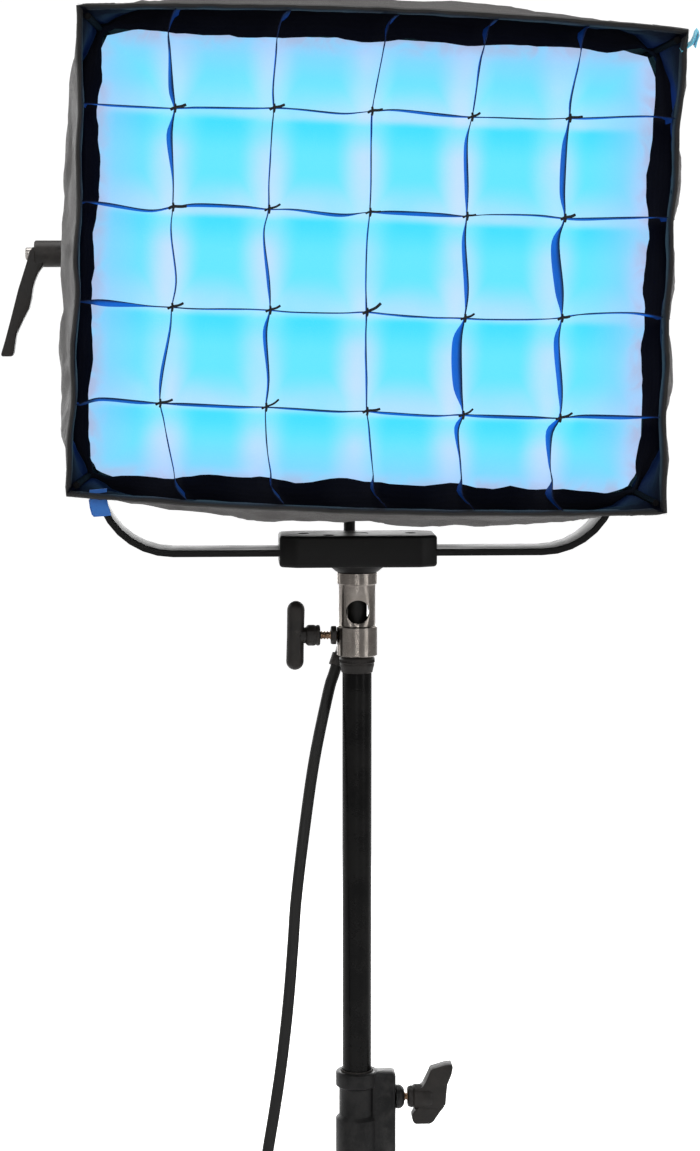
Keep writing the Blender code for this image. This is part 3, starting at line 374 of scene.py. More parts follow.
finishes = {
    "powderCoat": wornFinish("powderCoatBlack", {
        "colour": (0.0042, 0.0042, 0.0044), "cloudColour": (0.0065, 0.0063, 0.006), "cloudScale": 22.0,
        "specular": 0.22,
        "roughness": (0.34, 0.46), "grainScale": 900.0, "grainDepth": 0.35,
        "scuffColour": (0.10, 0.095, 0.09),
        "scuffStretch": (1.0, 1.0, 0.4), "scuffShare": 0.12, "wear": 0.35}),
    "glossPaint": wornFinish("riserGlossBlack", {
        "colour": (0.0024, 0.0024, 0.0025), "cloudColour": (0.0036, 0.0035, 0.0034), "cloudScale": 30.0,
        "specular": 0.16,
        "roughness": (0.20, 0.32), "grainScale": 500.0, "grainDepth": 0.12,
        "scuffColour": (0.05, 0.048, 0.045),
        "scuffStretch": (1.0, 1.0, 0.08), "scuffShare": 0.20, "wear": 0.2}),
    "anodised": wornFinish("housingBlack", {
        "colour": (0.0036, 0.0036, 0.0037), "cloudColour": (0.0056, 0.0054, 0.0054), "cloudScale": 16.0,
        "specular": 0.20,
        "roughness": (0.36, 0.50), "grainScale": 1100.0, "grainDepth": 0.30,
        "scuffColour": (0.16, 0.155, 0.15),
        "scuffStretch": (0.4, 1.0, 1.0), "scuffShare": 0.10, "wear": 0.4}),
    "nylon": wornFinish("mouldedNylonBlack", {
        "colour": (0.014, 0.0122, 0.0110), "cloudColour": (0.025, 0.021, 0.0185), "cloudScale": 60.0,
        "specular": 0.35,
        "roughness": (0.40, 0.56), "grainScale": 1500.0, "grainDepth": 0.55,
        "scuffColour": (0.13, 0.115, 0.105),
        "scuffStretch": (1.0, 1.0, 1.0), "scuffShare": 0.16, "wear": 0.5}),
    "castGrey": wornFinish("castCollarGrey", {
        "colour": (0.012, 0.012, 0.0125), "cloudColour": (0.022, 0.0215, 0.0215), "cloudScale": 70.0,
        "specular": 0.3,
        "roughness": (0.30, 0.46), "grainScale": 800.0, "grainDepth": 0.75, "scuffColour": (0.22, 0.21, 0.20),
        "scuffStretch": (1.0, 1.0, 0.5), "scuffShare": 0.14, "wear": 0.6, "metal": 0.35}),
    "nickel": wornFinish("satinNickelTurned", {
        "colour": (0.37, 0.335, 0.305), "cloudColour": (0.27, 0.24, 0.215), "cloudScale": 45.0,
        "roughness": (0.08, 0.14), "grainScale": 2500.0, "grainDepth": 0.03, "metal": 1.0,
        "lines": "Z", "lineScale": 900.0, "lineDepth": 0.08}),
    "nickelAcross": wornFinish("satinNickelAcross", {
        "colour": (0.56, 0.53, 0.50), "cloudColour": (0.44, 0.41, 0.385), "cloudScale": 60.0,
        "roughness": (0.22, 0.34), "grainScale": 2500.0, "grainDepth": 0.10, "metal": 1.0,
        "lines": "X", "lineScale": 900.0, "lineDepth": 0.16}),
    "threadBrass": wornFinish("threadBronzed", {
        "colour": (0.42, 0.29, 0.20), "cloudColour": (0.26, 0.17, 0.11), "cloudScale": 240.0,
        "roughness": (0.26, 0.42), "grainScale": 2500.0, "grainDepth": 0.15, "metal": 1.0}),
    "bareAluminium": wornFinish("heatSinkAluminium", {
        "colour": (0.52, 0.53, 0.54), "cloudColour": (0.42, 0.43, 0.44), "cloudScale": 40.0,
        "roughness": (0.32, 0.46), "grainScale": 1800.0, "grainDepth": 0.2, "metal": 1.0,
        "lines": "Z", "lineScale": 420.0, "lineDepth": 0.2}),
    "rubber": wornFinish("rubberBlack", {
        "colour": (0.0060, 0.0058, 0.0056), "cloudColour": (0.011, 0.0106, 0.0100), "cloudScale": 35.0,
        "roughness": (0.50, 0.68), "grainScale": 1600.0, "grainDepth": 0.45,
        "scuffColour": (0.06, 0.058, 0.055),
        "scuffStretch": (1.0, 1.0, 0.6), "scuffShare": 0.18, "wear": 0.3, "specular": 0.4}),
    "whitePlastic": wornFinish("mixingWhite", {
        "colour": (0.80, 0.81, 0.82), "cloudColour": (0.72, 0.74, 0.77), "cloudScale": 20.0,
        "roughness": (0.40, 0.52), "grainScale": 700.0, "grainDepth": 0.2}),
    "boardGreen": wornFinish("solderMaskGreen", {
        "colour": (0.012, 0.10, 0.045), "cloudColour": (0.02, 0.14, 0.06), "cloudScale": 90.0,
        "roughness": (0.30, 0.44), "grainScale": 1200.0, "grainDepth": 0.3}),
    "displayGlass": wornFinish("displayGlass", {
        "colour": (0.012, 0.030, 0.060), "cloudColour": (0.016, 0.040, 0.080), "cloudScale": 60.0,
        "roughness": (0.06, 0.12), "grainScale": 300.0, "grainDepth": 0.02, "coat": 0.8}),
    "fibreglass": wornFinish("springRodFibreglass", {
        "colour": (0.004, 0.004, 0.0045), "cloudColour": (0.008, 0.008, 0.009), "cloudScale": 120.0,
        "specular": 0.04,
        "roughness": (0.72, 0.86), "grainScale": 900.0, "grainDepth": 0.3}),
    "shellFabric": wovenFinish("softboxNylon", {
        "colour": (0.017, 0.0142, 0.0130), "threadColour": (0.036, 0.0305, 0.0280), "threads": 420.0,
        "creaseScale": 34.0, "creaseDepth": 1.0, "roughness": 0.62, "sheen": 0.06}),
    "hemFabric": wovenFinish("hemTapeBlack", {
        "colour": (0.0042, 0.0038, 0.0038), "threadColour": (0.0095, 0.0085, 0.0082), "threads": 330.0,
        "creaseScale": 60.0, "creaseDepth": 0.5, "roughness": 0.70, "sheen": 0.03}),
    "cyanWebbing": wovenFinish("pullTabCyan", {
        "colour": (0.05, 0.55, 0.82), "threadColour": (0.20, 0.78, 0.95), "threads": 380.0,
        "creaseScale": 90.0, "creaseDepth": 0.5, "roughness": 0.55, "sheen": 0.4}),
    "blueWebbing": wovenFinish("strapBlue", {
        "colour": (0.010, 0.10, 0.46), "threadColour": (0.03, 0.26, 0.75), "threads": 380.0,
        "creaseScale": 90.0, "creaseDepth": 0.5, "roughness": 0.55, "sheen": 0.4}),
}
print("materials made:", len(finishes))


# camera, floor and lights
studio = {"cameraAt": (-0.1232, standY - 2.1565, 1.184), "pitchDown": 6.18, "turnRight": 3.12, "lens": 84.45,
          "worldFill": 0.13, "floorGlow": 0.92, "floorBounce": 0.10}


def placeCamera():
    eye = bpy.data.cameras.new("studioCamera")
    eye.lens = studio["lens"]
    eye.sensor_width = 36
    camera = bpy.data.objects.new("studioCamera", eye)
    camera.location = studio["cameraAt"]
    camera.rotation_euler = (math.radians(90 - studio["pitchDown"]), 0, -math.radians(studio["turnRight"]))
    bpy.context.scene.collection.objects.link(camera)
    bpy.context.scene.camera = camera


def areaLight(name, place, target, size, power, colour=(1, 1, 1)):
    lamp = bpy.data.lights.new(name, "AREA")
    lamp.shape = "RECTANGLE"
    lamp.size, lamp.size_y = size
    lamp.energy = power
    lamp.color = colour
    light = bpy.data.objects.new(name, lamp)
    light.location = place
    aim = Vector(target) - Vector(place)
    light.rotation_euler = aim.to_track_quat("-Z", "Y").to_euler()
    bpy.context.scene.collection.objects.link(light)


def buildStudio():
    bpy.context.scene.view_settings.view_transform = "Standard"
    world = bpy.data.worlds.new("studioWorld")
    world.use_nodes = True
    tree = world.node_tree
    plain = tree.nodes["Background"]
    plain.inputs["Color"].default_value = (1, 1, 1, 1)
    path = tree.nodes.new("ShaderNodeLightPath")
    strength = tree.nodes.new("ShaderNodeMapRange")
    strength.inputs["To Min"].default_value = studio["worldFill"]
    strength.inputs["To Max"].default_value = 1.05
    tree.links.new(path.outputs["Is Camera Ray"], strength.inputs["Value"])
    tree.links.new(strength.outputs[0], plain.inputs["Strength"])
    bpy.context.scene.world = world
    bpy.ops.mesh.primitive_circle_add(vertices=96, radius=14, fill_type="NGON", location=(0, 0, -0.0006))
    floor = bpy.context.object
    floor.name = "studioFloor"
    made, tree, shader = newMaterial("paleFloor")
    place = addNode(tree, "TexCoord").outputs["Object"]
    cloud = addNode(tree, "TexNoise", {"Vector": place, "Scale": 1.4, "Detail": 3.0}).outputs["Fac"]
    tree.links.new(blendColours(tree, cloud, (0.90, 0.90, 0.90), (0.93, 0.93, 0.93)),
                   shader.inputs["Base Color"])
    shader.inputs["Roughness"].default_value = 0.7
    shader.inputs["Emission Color"].default_value = (1, 1, 1, 1)
    seen = addNode(tree, "LightPath").outputs["Is Camera Ray"]
    glow = addNode(tree, "MapRange",
                   {"Value": seen, "To Min": studio["floorBounce"], "To Max": studio["floorGlow"]})
    tree.links.new(glow.outputs[0], shader.inputs["Emission Strength"])
    floor.data.materials.append(made)
    target = (0, standY, 0.95)
    areaLight("keyLeft", (-1.9, -2.1, 2.5), target, (0.55, 1.8), 24)
    areaLight("fillRight", (2.2, -1.7, 1.5), target, (0.45, 2.0), 13)
    areaLight("stripFront", (-0.16, -2.9, 1.7), target, (0.08, 2.2), 13)
    areaLight("overhead", (0.2, 0.3, 3.2), target, (1.6, 1.6), 40)
    areaLight("rimLeft", (-2.2, 1.6, 1.7), target, (0.8, 2.2), 12)
    areaLight("rimRight", (2.0, 2.0, 1.9), target, (0.8, 2.2), 12)
    areaLight("backdrop", (-0.1, 3.4, 1.30), (0, standY, 1.0), (4.4, 1.5), 76)


placeCamera()
buildStudio()
print("camera and studio ready")


# power cable
cable = {
    "radius": 0.0047, "coilCentre": (-0.190, -0.110), "sides": 4,
    "upper": [(-0.0800, 0.1503, 1.1080), (-0.0795, 0.1700, 1.1065), (-0.0760, 0.1960, 1.0900),
              (-0.0700, 0.2060, 1.0600), (-0.0600, 0.1960, 1.0280), (-0.0460, 0.1700, 1.0090),
              (-0.0310, 0.1350, 1.0080), (-0.0180, 0.1000, 1.0220), (-0.0090, 0.0700, 1.0320),
              (-0.0050, 0.0470, 1.0240), (-0.0043, 0.0360, 1.0060), (-0.0043, 0.0340, 0.9880),
              (-0.0043, 0.0340, 0.9730)],
    "middle": [(-0.0043, 0.0340, 0.9727), (-0.0043, 0.0340, 0.9600), (-0.0056, 0.0312, 0.9350),
               (-0.0080, 0.0258, 0.9100), (-0.0106, 0.0212, 0.8901), (-0.0143, 0.0185, 0.8790)],
    "lower": [(-0.0145, 0.0183, 0.8783), (-0.0180, 0.0158, 0.8679), (-0.0225, 0.0125, 0.8540),
              (-0.0343, -0.0010, 0.8020), (-0.0430, -0.0125, 0.7470), (-0.0502, -0.0215, 0.6910),
              (-0.0530, -0.0265, 0.6560), (-0.0571, -0.0330, 0.6090), (-0.0626, -0.0395, 0.5630),
              (-0.0686, -0.0445, 0.5240), (-0.0746, -0.0495, 0.4900), (-0.0880, -0.0565, 0.4100),
              (-0.1010, -0.0605, 0.3200), (-0.1140, -0.0615, 0.2300), (-0.1300, -0.0595, 0.1500),
              (-0.1500, -0.0572, 0.0900), (-0.1720, -0.0570, 0.0520), (-0.1950, -0.0586, 0.0362),
              (-0.2118, -0.0631, 0.0340)],
    # turn so far in degrees, radius, height of each stage of the coil
    "coil": [(0, 0.0517, 0.0337), (70, 0.0470, 0.0235), (280, 0.0470, 0.0235), (350, 0.0564, 0.0235),
             (700, 0.0564, 0.0235), (770, 0.0564, 0.0141), (980, 0.0564, 0.0141), (1050, 0.0470, 0.0141),
             (1400, 0.0470, 0.0141), (1470, 0.0470, 0.0047), (1680, 0.0470, 0.0047), (1750, 0.0564, 0.0047),
             (1880, 0.0575, 0.0050), (1920, 0.0653, 0.0062)],
    "tail": [(-0.1985, -0.1813, 0.0110), (-0.1900, -0.1898, 0.0165), (-0.1820, -0.1978, 0.0190),
             (-0.1747, -0.2051, 0.0190)],
}


def inStand(points):
    return [Vector(point) + Vector((0, standY, 0)) for point in points]


def coilTurns():
    stages, points = cable["coil"], []
    for turned in range(0, stages[-1][0] + 1, 15):
        n = next(n for n in range(1, len(stages)) if turned <= stages[n][0])
        before, after = stages[n - 1], stages[n]
        share = (turned - before[0]) / (after[0] - before[0])
        share = share * share * (3 - 2 * share)
        radius = before[1] + (after[1] - before[1]) * share
        height = before[2] + (after[2] - before[2]) * share
        angle = math.radians(135 + turned)
        x, y = cable["coilCentre"]
        points.append((x + radius * math.cos(angle), y + radius * math.sin(angle), height))
    return points


def cablePiece(name, points, body, replaced, spacing):
    route = smoothRoute(inStand(points), spacing)
    piece = tubeAlong(name, route, cable["radius"], cable["sides"])
    finishPiece(piece, body, finishes["rubber"], replaced)
    return piece, route


upperCable, upperRoute = cablePiece("powerCableUpper", cable["upper"], None, ["power_cable_upper"], 0.004)
middleCable, middleRoute = cablePiece("powerCableMiddle", cable["middle"], None, ["power_cable_middle"],
                                      0.004)
lowerCable, lowerRoute = cablePiece("powerCableLower", cable["lower"] + coilTurns() + cable["tail"], None,
                                    ["power_cable_lower", "cable_coil", "power_cable_tail"], 0.006)
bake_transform(upperCable)
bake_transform(middleCable)
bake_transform(lowerCable)
print("cable lengths:", [round(routeLength(r), 3) for r in (upperRoute, middleRoute, lowerRoute)])


def ribbedRelief(name, start, direction, body, length, wide, narrow, ribs):
    # tapered strain relief with rings moulded round it
    profile = [(0, 0)]
    for n in range(ribs):
        near, far = n / ribs, (n + 0.55) / ribs
        for share, swell in ((near, 0.0009), (far, 0.0009), (far, 0.0), (near + 1 / ribs, 0.0)):
            profile.append((wide + (narrow - wide) * share + swell, length * share))
    profile.append((narrow - 0.0006, length))
    profile.append((0, length))
    piece = turnedPiece(name, profile, (0, 0, 0), steps=32)
    piece.rotation_euler = Vector(direction).to_track_quat("Z", "Y").to_euler()
    piece.location = start
    settle(piece)
    softenEdges(piece, 0.0002, 1)
    return finishPiece(piece, body, finishes["rubber"])


def mainsPlug():
    end = lowerRoute[-1]
    along = (end - lowerRoute[-3]).normalized()
    along.z = 0
    along.normalize()
    relief = ribbedRelief("plugRelief", end + along * 0.022, -along, "stand", 0.030, 0.0088,
                          0.0058, 6)
    profile = [(0, 0.0520), (0.0178, 0.0520), (0.0186, 0.0512), (0.0190, 0.0490), (0.0190, 0.0300),
               (0.0176, 0.0285), (0.0176, 0.0262), (0.0188, 0.0250), (0.0184, 0.0200), (0.0128, 0.0140),
               (0.0105, 0.0100), (0, 0.0100)]
    body = turnedPiece("plugBody", profile, (0, 0, 0), steps=48)
    softenEdges(body, 0.0005, 2)
    pins = [turnedPiece("pin", [(0, 0.071), (0.0016, 0.071), (0.0024, 0.0690), (0.0024, 0.051), (0, 0.051)],
                        (side * 0.0095, 0, 0), steps=20) for side in (-1, 1)]
    pins = joined("plugPins", pins)
    for piece in (body, pins):
        piece.rotation_euler = along.to_track_quat("Z", "Y").to_euler()
        piece.location = end - along * 0.0005
        settle(piece)
    finishPiece(body, "stand", finishes["rubber"], ["mains_plug"])
    finishPiece(pins, "stand", finishes["nickelAcross"])
    return [relief, body, pins]


plugPieces = mainsPlug()


def coilTie():
    # a hook and loop tie round the coil's section
    x, y = cable["coilCentre"]
    angle = math.radians(20)
    out = Vector((math.cos(angle), math.sin(angle), 0))
    centre = Vector((x, y + standY, 0.0141)) + out * 0.0517
    loop = []
    for n in range(33):
        turn = 2 * math.pi * n / 32
        wide = math.copysign(abs(math.cos(turn)) ** 0.6, math.cos(turn)) * 0.0112
        tall = math.copysign(abs(math.sin(turn)) ** 0.6, math.sin(turn)) * 0.0150
        loop.append(centre + out * wide + Vector((0, 0, tall + 0.0010)))
    side = Vector((-out.y, out.x, 0)) * 0.008
    return sheetPiece("coilTie", [[p - side for p in loop], loop, [p + side for p in loop]], 0.0009)


def sheetPiece(name, rows, thickness, closed=False, offset=0.0):
    # rows of points become a cloth with a UV map in metres
    count = len(rows[0])
    points = [point for row in rows for point in row]
    faces, spans = [], count if closed else count - 1
    for n in range(len(rows) - 1):
        for m in range(spans):
            after = (m + 1) % count
            faces.append((n * count + m, n * count + after, (n + 1) * count + after, (n + 1) * count + m))
    mesh = bpy.data.meshes.new(name)
    mesh.from_pydata([tuple(point) for point in points], [], faces)
    along = [0.0]
    for m in range(count):
        along.append(along[-1] + (Vector(rows[0][(m + 1) % count]) - Vector(rows[0][m])).length)
    across = [0.0]
    for n in range(len(rows) - 1):
        across.append(across[-1] + (Vector(rows[n + 1][0]) - Vector(rows[n][0])).length)
    uv = mesh.uv_layers.new(name="cloth")
    corner = 0
    for n in range(len(rows) - 1):
        for m in range(spans):
            for a, b in ((m, n), (m + 1, n), (m + 1, n + 1), (m, n + 1)):
                uv.data[corner].uv = (along[a], across[b])
                corner += 1
    piece = bpy.data.objects.new(name, mesh)
    bpy.context.scene.collection.objects.link(piece)
    if thickness:
        addThickness(piece, thickness, offset)
    return piece


def addThickness(piece, thickness, offset=0.0):
    wall = piece.modifiers.new("wall", "SOLIDIFY")
    wall.thickness = thickness
    wall.offset = offset
    wall.use_rim = True
    applyAll(piece)


tie = coilTie()
finishPiece(tie, "stand", finishes["hemFabric"])
print("cable laid")


# softbox
softbox = {
    "rollDegrees": 2.0, "frontY": -0.240, "rearY": -0.062, "frontSize": (0.428, 0.341),
    "rearSize": (0.384, 0.316),
    "bulge": 0.021, "cloth": 0.0010, "frontBow": (0.0062, -0.0035, 0.0065, -0.0020),
    "aroundSide": 64, "deepRows": 30, "headDrop": 0.009,
    "diffuserY": -0.180, "diffuserSize": (0.408, 0.326), "gridFront": -0.2375, "gridRear": -0.1925,
}
rollAngle = math.radians(softbox["rollDegrees"])
headMiddle = Vector((0, standY, tiltZ - softbox["headDrop"]))


def rolled(x, y, z):
    # softbox coordinates to the object's: the box sits a little turned on its mount
    return Vector((x * math.cos(rollAngle) + z * math.sin(rollAngle), y,
                   z * math.cos(rollAngle) - x * math.sin(rollAngle))) + headMiddle


def ripple(x, y, z, seed, amount):
    return noise.noise(Vector((x, y, z)) + Vector((seed, seed * 0.37, -seed))) * amount


def wallPoint(side, t, share, inset=0.0):
    # side 0 is the bottom, then right, top and left; t runs -1 to 1 along it
    frontX, frontZ = (size / 2 for size in softbox["frontSize"])
    rearX, rearZ = (size / 2 for size in softbox["rearSize"])
    halfX = frontX + (rearX - frontX) * share - inset
    halfZ = frontZ + (rearZ - frontZ) * share - inset
    along, across = (halfX, halfZ) if side % 2 == 0 else (halfZ, halfX)
    bow = softbox["bulge"] * math.sin(math.pi * min(share, 1.0)) ** 0.8 if 0 < share < 1 else 0.0
    edge = softbox["frontBow"][side] * (1 - share)
    out = across + bow * (1 - t ** 4) + edge * (1 - t * t)
    if side % 2:
        reach = 0.5 + 0.5 * math.cos(t * 5 * math.pi)      # pulled in where the grid's strips are sewn
        out -= 0.0016 * (1 - reach) * (1 - share) * (1 - abs(t) ** 6)
    x, z = t * along, -out
    for _ in range(side):
        x, z = -z, x
    return x, z


def shellRows(inset=0.0, first=0.0, last=1.0, rows=None):
    rows = rows or softbox["deepRows"]
    depth = softbox["rearY"] - softbox["frontY"]
    made = []
    for n in range(rows + 1):
        share = first + (last - first) * n / rows
        row = []
        for side in range(4):
            for m in range(softbox["aroundSide"]):
                t = 2 * m / softbox["aroundSide"] - 1
                x, z = wallPoint(side, t, share, inset)
                row.append(rolled(x, softbox["frontY"] + depth * share, z))
        made.append(row)
    return made


def simulateCloth(piece, held, look):
    group = piece.vertex_groups.new(name="held")
    for n, weight in held.items():
        group.add([n], weight, "REPLACE")
    drape = piece.modifiers.new("drape", "CLOTH")
    cloth = drape.settings
    cloth.quality = 6
    cloth.mass = look["mass"]
    cloth.tension_stiffness = look["stiffness"]
    cloth.compression_stiffness = look["stiffness"]
    cloth.shear_stiffness = look["stiffness"] / 2
    cloth.bending_stiffness = look["bending"]
    cloth.air_damping = 2.0
    cloth.vertex_group_mass = "held"
    cloth.shrink_min = -look["spare"]
    drape.collision_settings.use_collision = False
    cloth.effector_weights.gravity = look.get("gravity", 1.0)
    drape.point_cache.frame_start = 1
    drape.point_cache.frame_end = look["frames"]
    for step in range(1, look["frames"] + 1):
        bpy.context.scene.frame_set(step)
    applyAll(piece)
    bpy.context.scene.frame_set(1)


def keepNear(piece, rest, most):
    # no point ends further than this from where it started
    for vertex, place in zip(piece.data.vertices, rest):
        moved = vertex.co - place
        if moved.length > most:
            vertex.co = place + moved * (most / moved.length)


def buildShell():
    rows = shellRows()
    around, deep = len(rows[0]), len(rows)
    piece = sheetPiece("softboxShell", rows, 0, closed=True)
    held = {}
    for n in range(deep):
        share = n / (deep - 1)
        for m in range(around):
            corner = min(m % softbox["aroundSide"], softbox["aroundSide"] - m % softbox["aroundSide"])
            if n in (0, deep - 1):
                held[n * around + m] = 1.0
            elif corner == 0:
                held[n * around + m] = 0.85 if share < 0.2 else 0.6
    rest = [vertex.co.copy() for vertex in piece.data.vertices]
    simulateCloth(piece, held, {"mass": 0.12, "stiffness": 9.0, "bending": 0.12, "spare": 0.014, "frames": 26,
                                "gravity": 0.0})
    keepNear(piece, rest, 0.0026)
    centre = headMiddle + Vector((0, (softbox["frontY"] + softbox["rearY"]) / 2, 0))
    for n, vertex in enumerate(piece.data.vertices):
        share = (n // around) / (deep - 1)
        out = vertex.co - centre
        out.y = 0
        out.normalize()
        calm = min(1.0, 8 * share, 10 * (1 - share))
        fold = ripple(vertex.co.x * 24, vertex.co.y * 11, vertex.co.z * 24, 3.1, 0.0024) - 0.0014
        fine = ripple(vertex.co.x * 75, vertex.co.y * 38, vertex.co.z * 75, 8.7, 0.0013)
        vertex.co += out * (fold + fine) * calm
    front = [piece.data.vertices[m].co.copy() for m in range(around)]
    rear = [piece.data.vertices[(deep - 1) * around + m].co.copy() for m in range(around)]
    area = sum(face.area for face in piece.data.polygons)
    inside = insideWall(piece, around, deep)
    share = (softbox["diffuserY"] - softbox["frontY"]) / (softbox["rearY"] - softbox["frontY"])
    rows = [[piece.data.vertices[n * around + m].co.copy() for m in range(around)] for n in range(deep)]
    low = int(share * (deep - 1))
    atDiffuser = [a.lerp(b, share * (deep - 1) - low) for a, b in zip(rows[low], rows[low + 1])]
    addThickness(piece, softbox["cloth"])
    finishPiece(piece, "head", finishes["shellFabric"], ["softbox_shell"], 60)
    return piece, inside, front, rear, atDiffuser, area


def insideWall(shell, around, deep):
    # the black lining that shows between the front edge and the diffuser
    depth = softbox["rearY"] - softbox["frontY"]
    last = 1 + int((softbox["diffuserY"] - softbox["frontY"]) / depth * (deep - 1))
    rows = []
    centre = headMiddle.copy()
    for n in range(last + 2):
        row = []
        for m in range(around):
            place = shell.data.vertices[n * around + m].co.copy()
            inward = Vector((centre.x - place.x, 0, centre.z - place.z)).normalized()
            row.append(place + inward * (0.0016 + 0.0006 * min(n, 3)))
        rows.append(row)
    return sheetPiece("softboxLining", rows, 0.0005, closed=True)


shell, lining, frontEdge, rearEdge, wallAtDiffuser, shellArea = buildShell()
print("softbox shell:", round(shellArea, 4), "m2")


def paintedGlowCloth(name, look):
    # cloth with the lamp's blue light painted into it, as emission and as a bluer base colour, strongest near
    # the diffuser; the cloth itself is no lamp
    made, tree, shader = newMaterial(name)
    place = addNode(tree, "TexCoord").outputs["UV"]
    body = addNode(tree, "TexCoord").outputs["Object"]
    split = addNode(tree, "SeparateXYZ", {"Vector": body}).outputs["Y"]
    near = ramp(tree, split, look["front"], look["rear"], 0.0, 1.0, "SMOOTHSTEP")
    weave = reckon(tree, "MAXIMUM",
                   addNode(tree, "TexWave", {"Vector": place, "Scale": 330.0, "Distortion": 1.0},
                           bands_direction="X").outputs["Fac"],
                   addNode(tree, "TexWave", {"Vector": place, "Scale": 330.0, "Distortion": 1.0},
                           bands_direction="Y").outputs["Fac"])
    cloud = addNode(tree, "TexNoise", {"Vector": body, "Scale": 26.0, "Detail": 5.0}).outputs["Fac"]
    # painted light: the base colour goes from the cloth's dark to a lit blue towards the diffuser
    colour = blendColours(tree, near, look["dark"], look["bright"])
    colour = blendColours(tree, reckon(tree, "MULTIPLY", weave, 0.25), colour, look["thread"])
    # painted light: emission on the cloth, patchy with the cloud
    glow = reckon(tree, "MULTIPLY", near, ramp(tree, cloud, 0.25, 0.75, look["glow"] * 0.65, look["glow"]))
    glow = reckon(tree, "MULTIPLY_ADD", weave, -0.10 * look["glow"], glow, clamp=True)
    if "within" in look:
        # the painted glow is kept inside the grid's hem
        split = addNode(tree, "SeparateXYZ", {"Vector": body})
        reachX = reckon(tree, "ABSOLUTE", split.outputs["X"])
        reachZ = reckon(tree, "ABSOLUTE", reckon(tree, "SUBTRACT", split.outputs["Z"], headMiddle.z))
        wide, tall = look["within"]
        inside = reckon(tree, "MULTIPLY", ramp(tree, reachX, wide, wide + 0.008, 1.0, 0.07),
                        ramp(tree, reachZ, tall, tall + 0.008, 1.0, 0.07))
        glow = reckon(tree, "MULTIPLY", glow, inside)
    if "sideOnly" in look:
        # the painted glow is kept to the side walls, fading at top and bottom
        reach = reckon(tree, "ABSOLUTE", addNode(tree, "SeparateXYZ", {"Vector": body}).outputs["X"])
        rise = reckon(tree, "SUBTRACT", addNode(tree, "SeparateXYZ", {"Vector": body}).outputs["Z"],
                      headMiddle.z)
        reach = ramp(tree, reach, look["sideOnly"] - 0.010, look["sideOnly"], 0.10, 1.0)
        rise = ramp(tree, reckon(tree, "ABSOLUTE", rise), 0.118, 0.142, 1.0, 0.15)
        glow = reckon(tree, "MULTIPLY", glow, reckon(tree, "MULTIPLY", reach, rise))
    bump = addNode(tree, "Bump", {"Height": weave, "Strength": 0.35, "Distance": 0.0003}).outputs[0]
    tree.links.new(colour, shader.inputs["Base Color"])
    tree.links.new(blendColours(tree, near, look["glowDark"], look["glowBright"]),
                   shader.inputs["Emission Color"])
    tree.links.new(glow, shader.inputs["Emission Strength"])
    tree.links.new(bump, shader.inputs["Normal"])
    shader.inputs["Roughness"].default_value = 0.75
    shader.inputs["Specular IOR Level"].default_value = 0.12
    made.diffuse_color = (*look["dark"], 1)
    return made


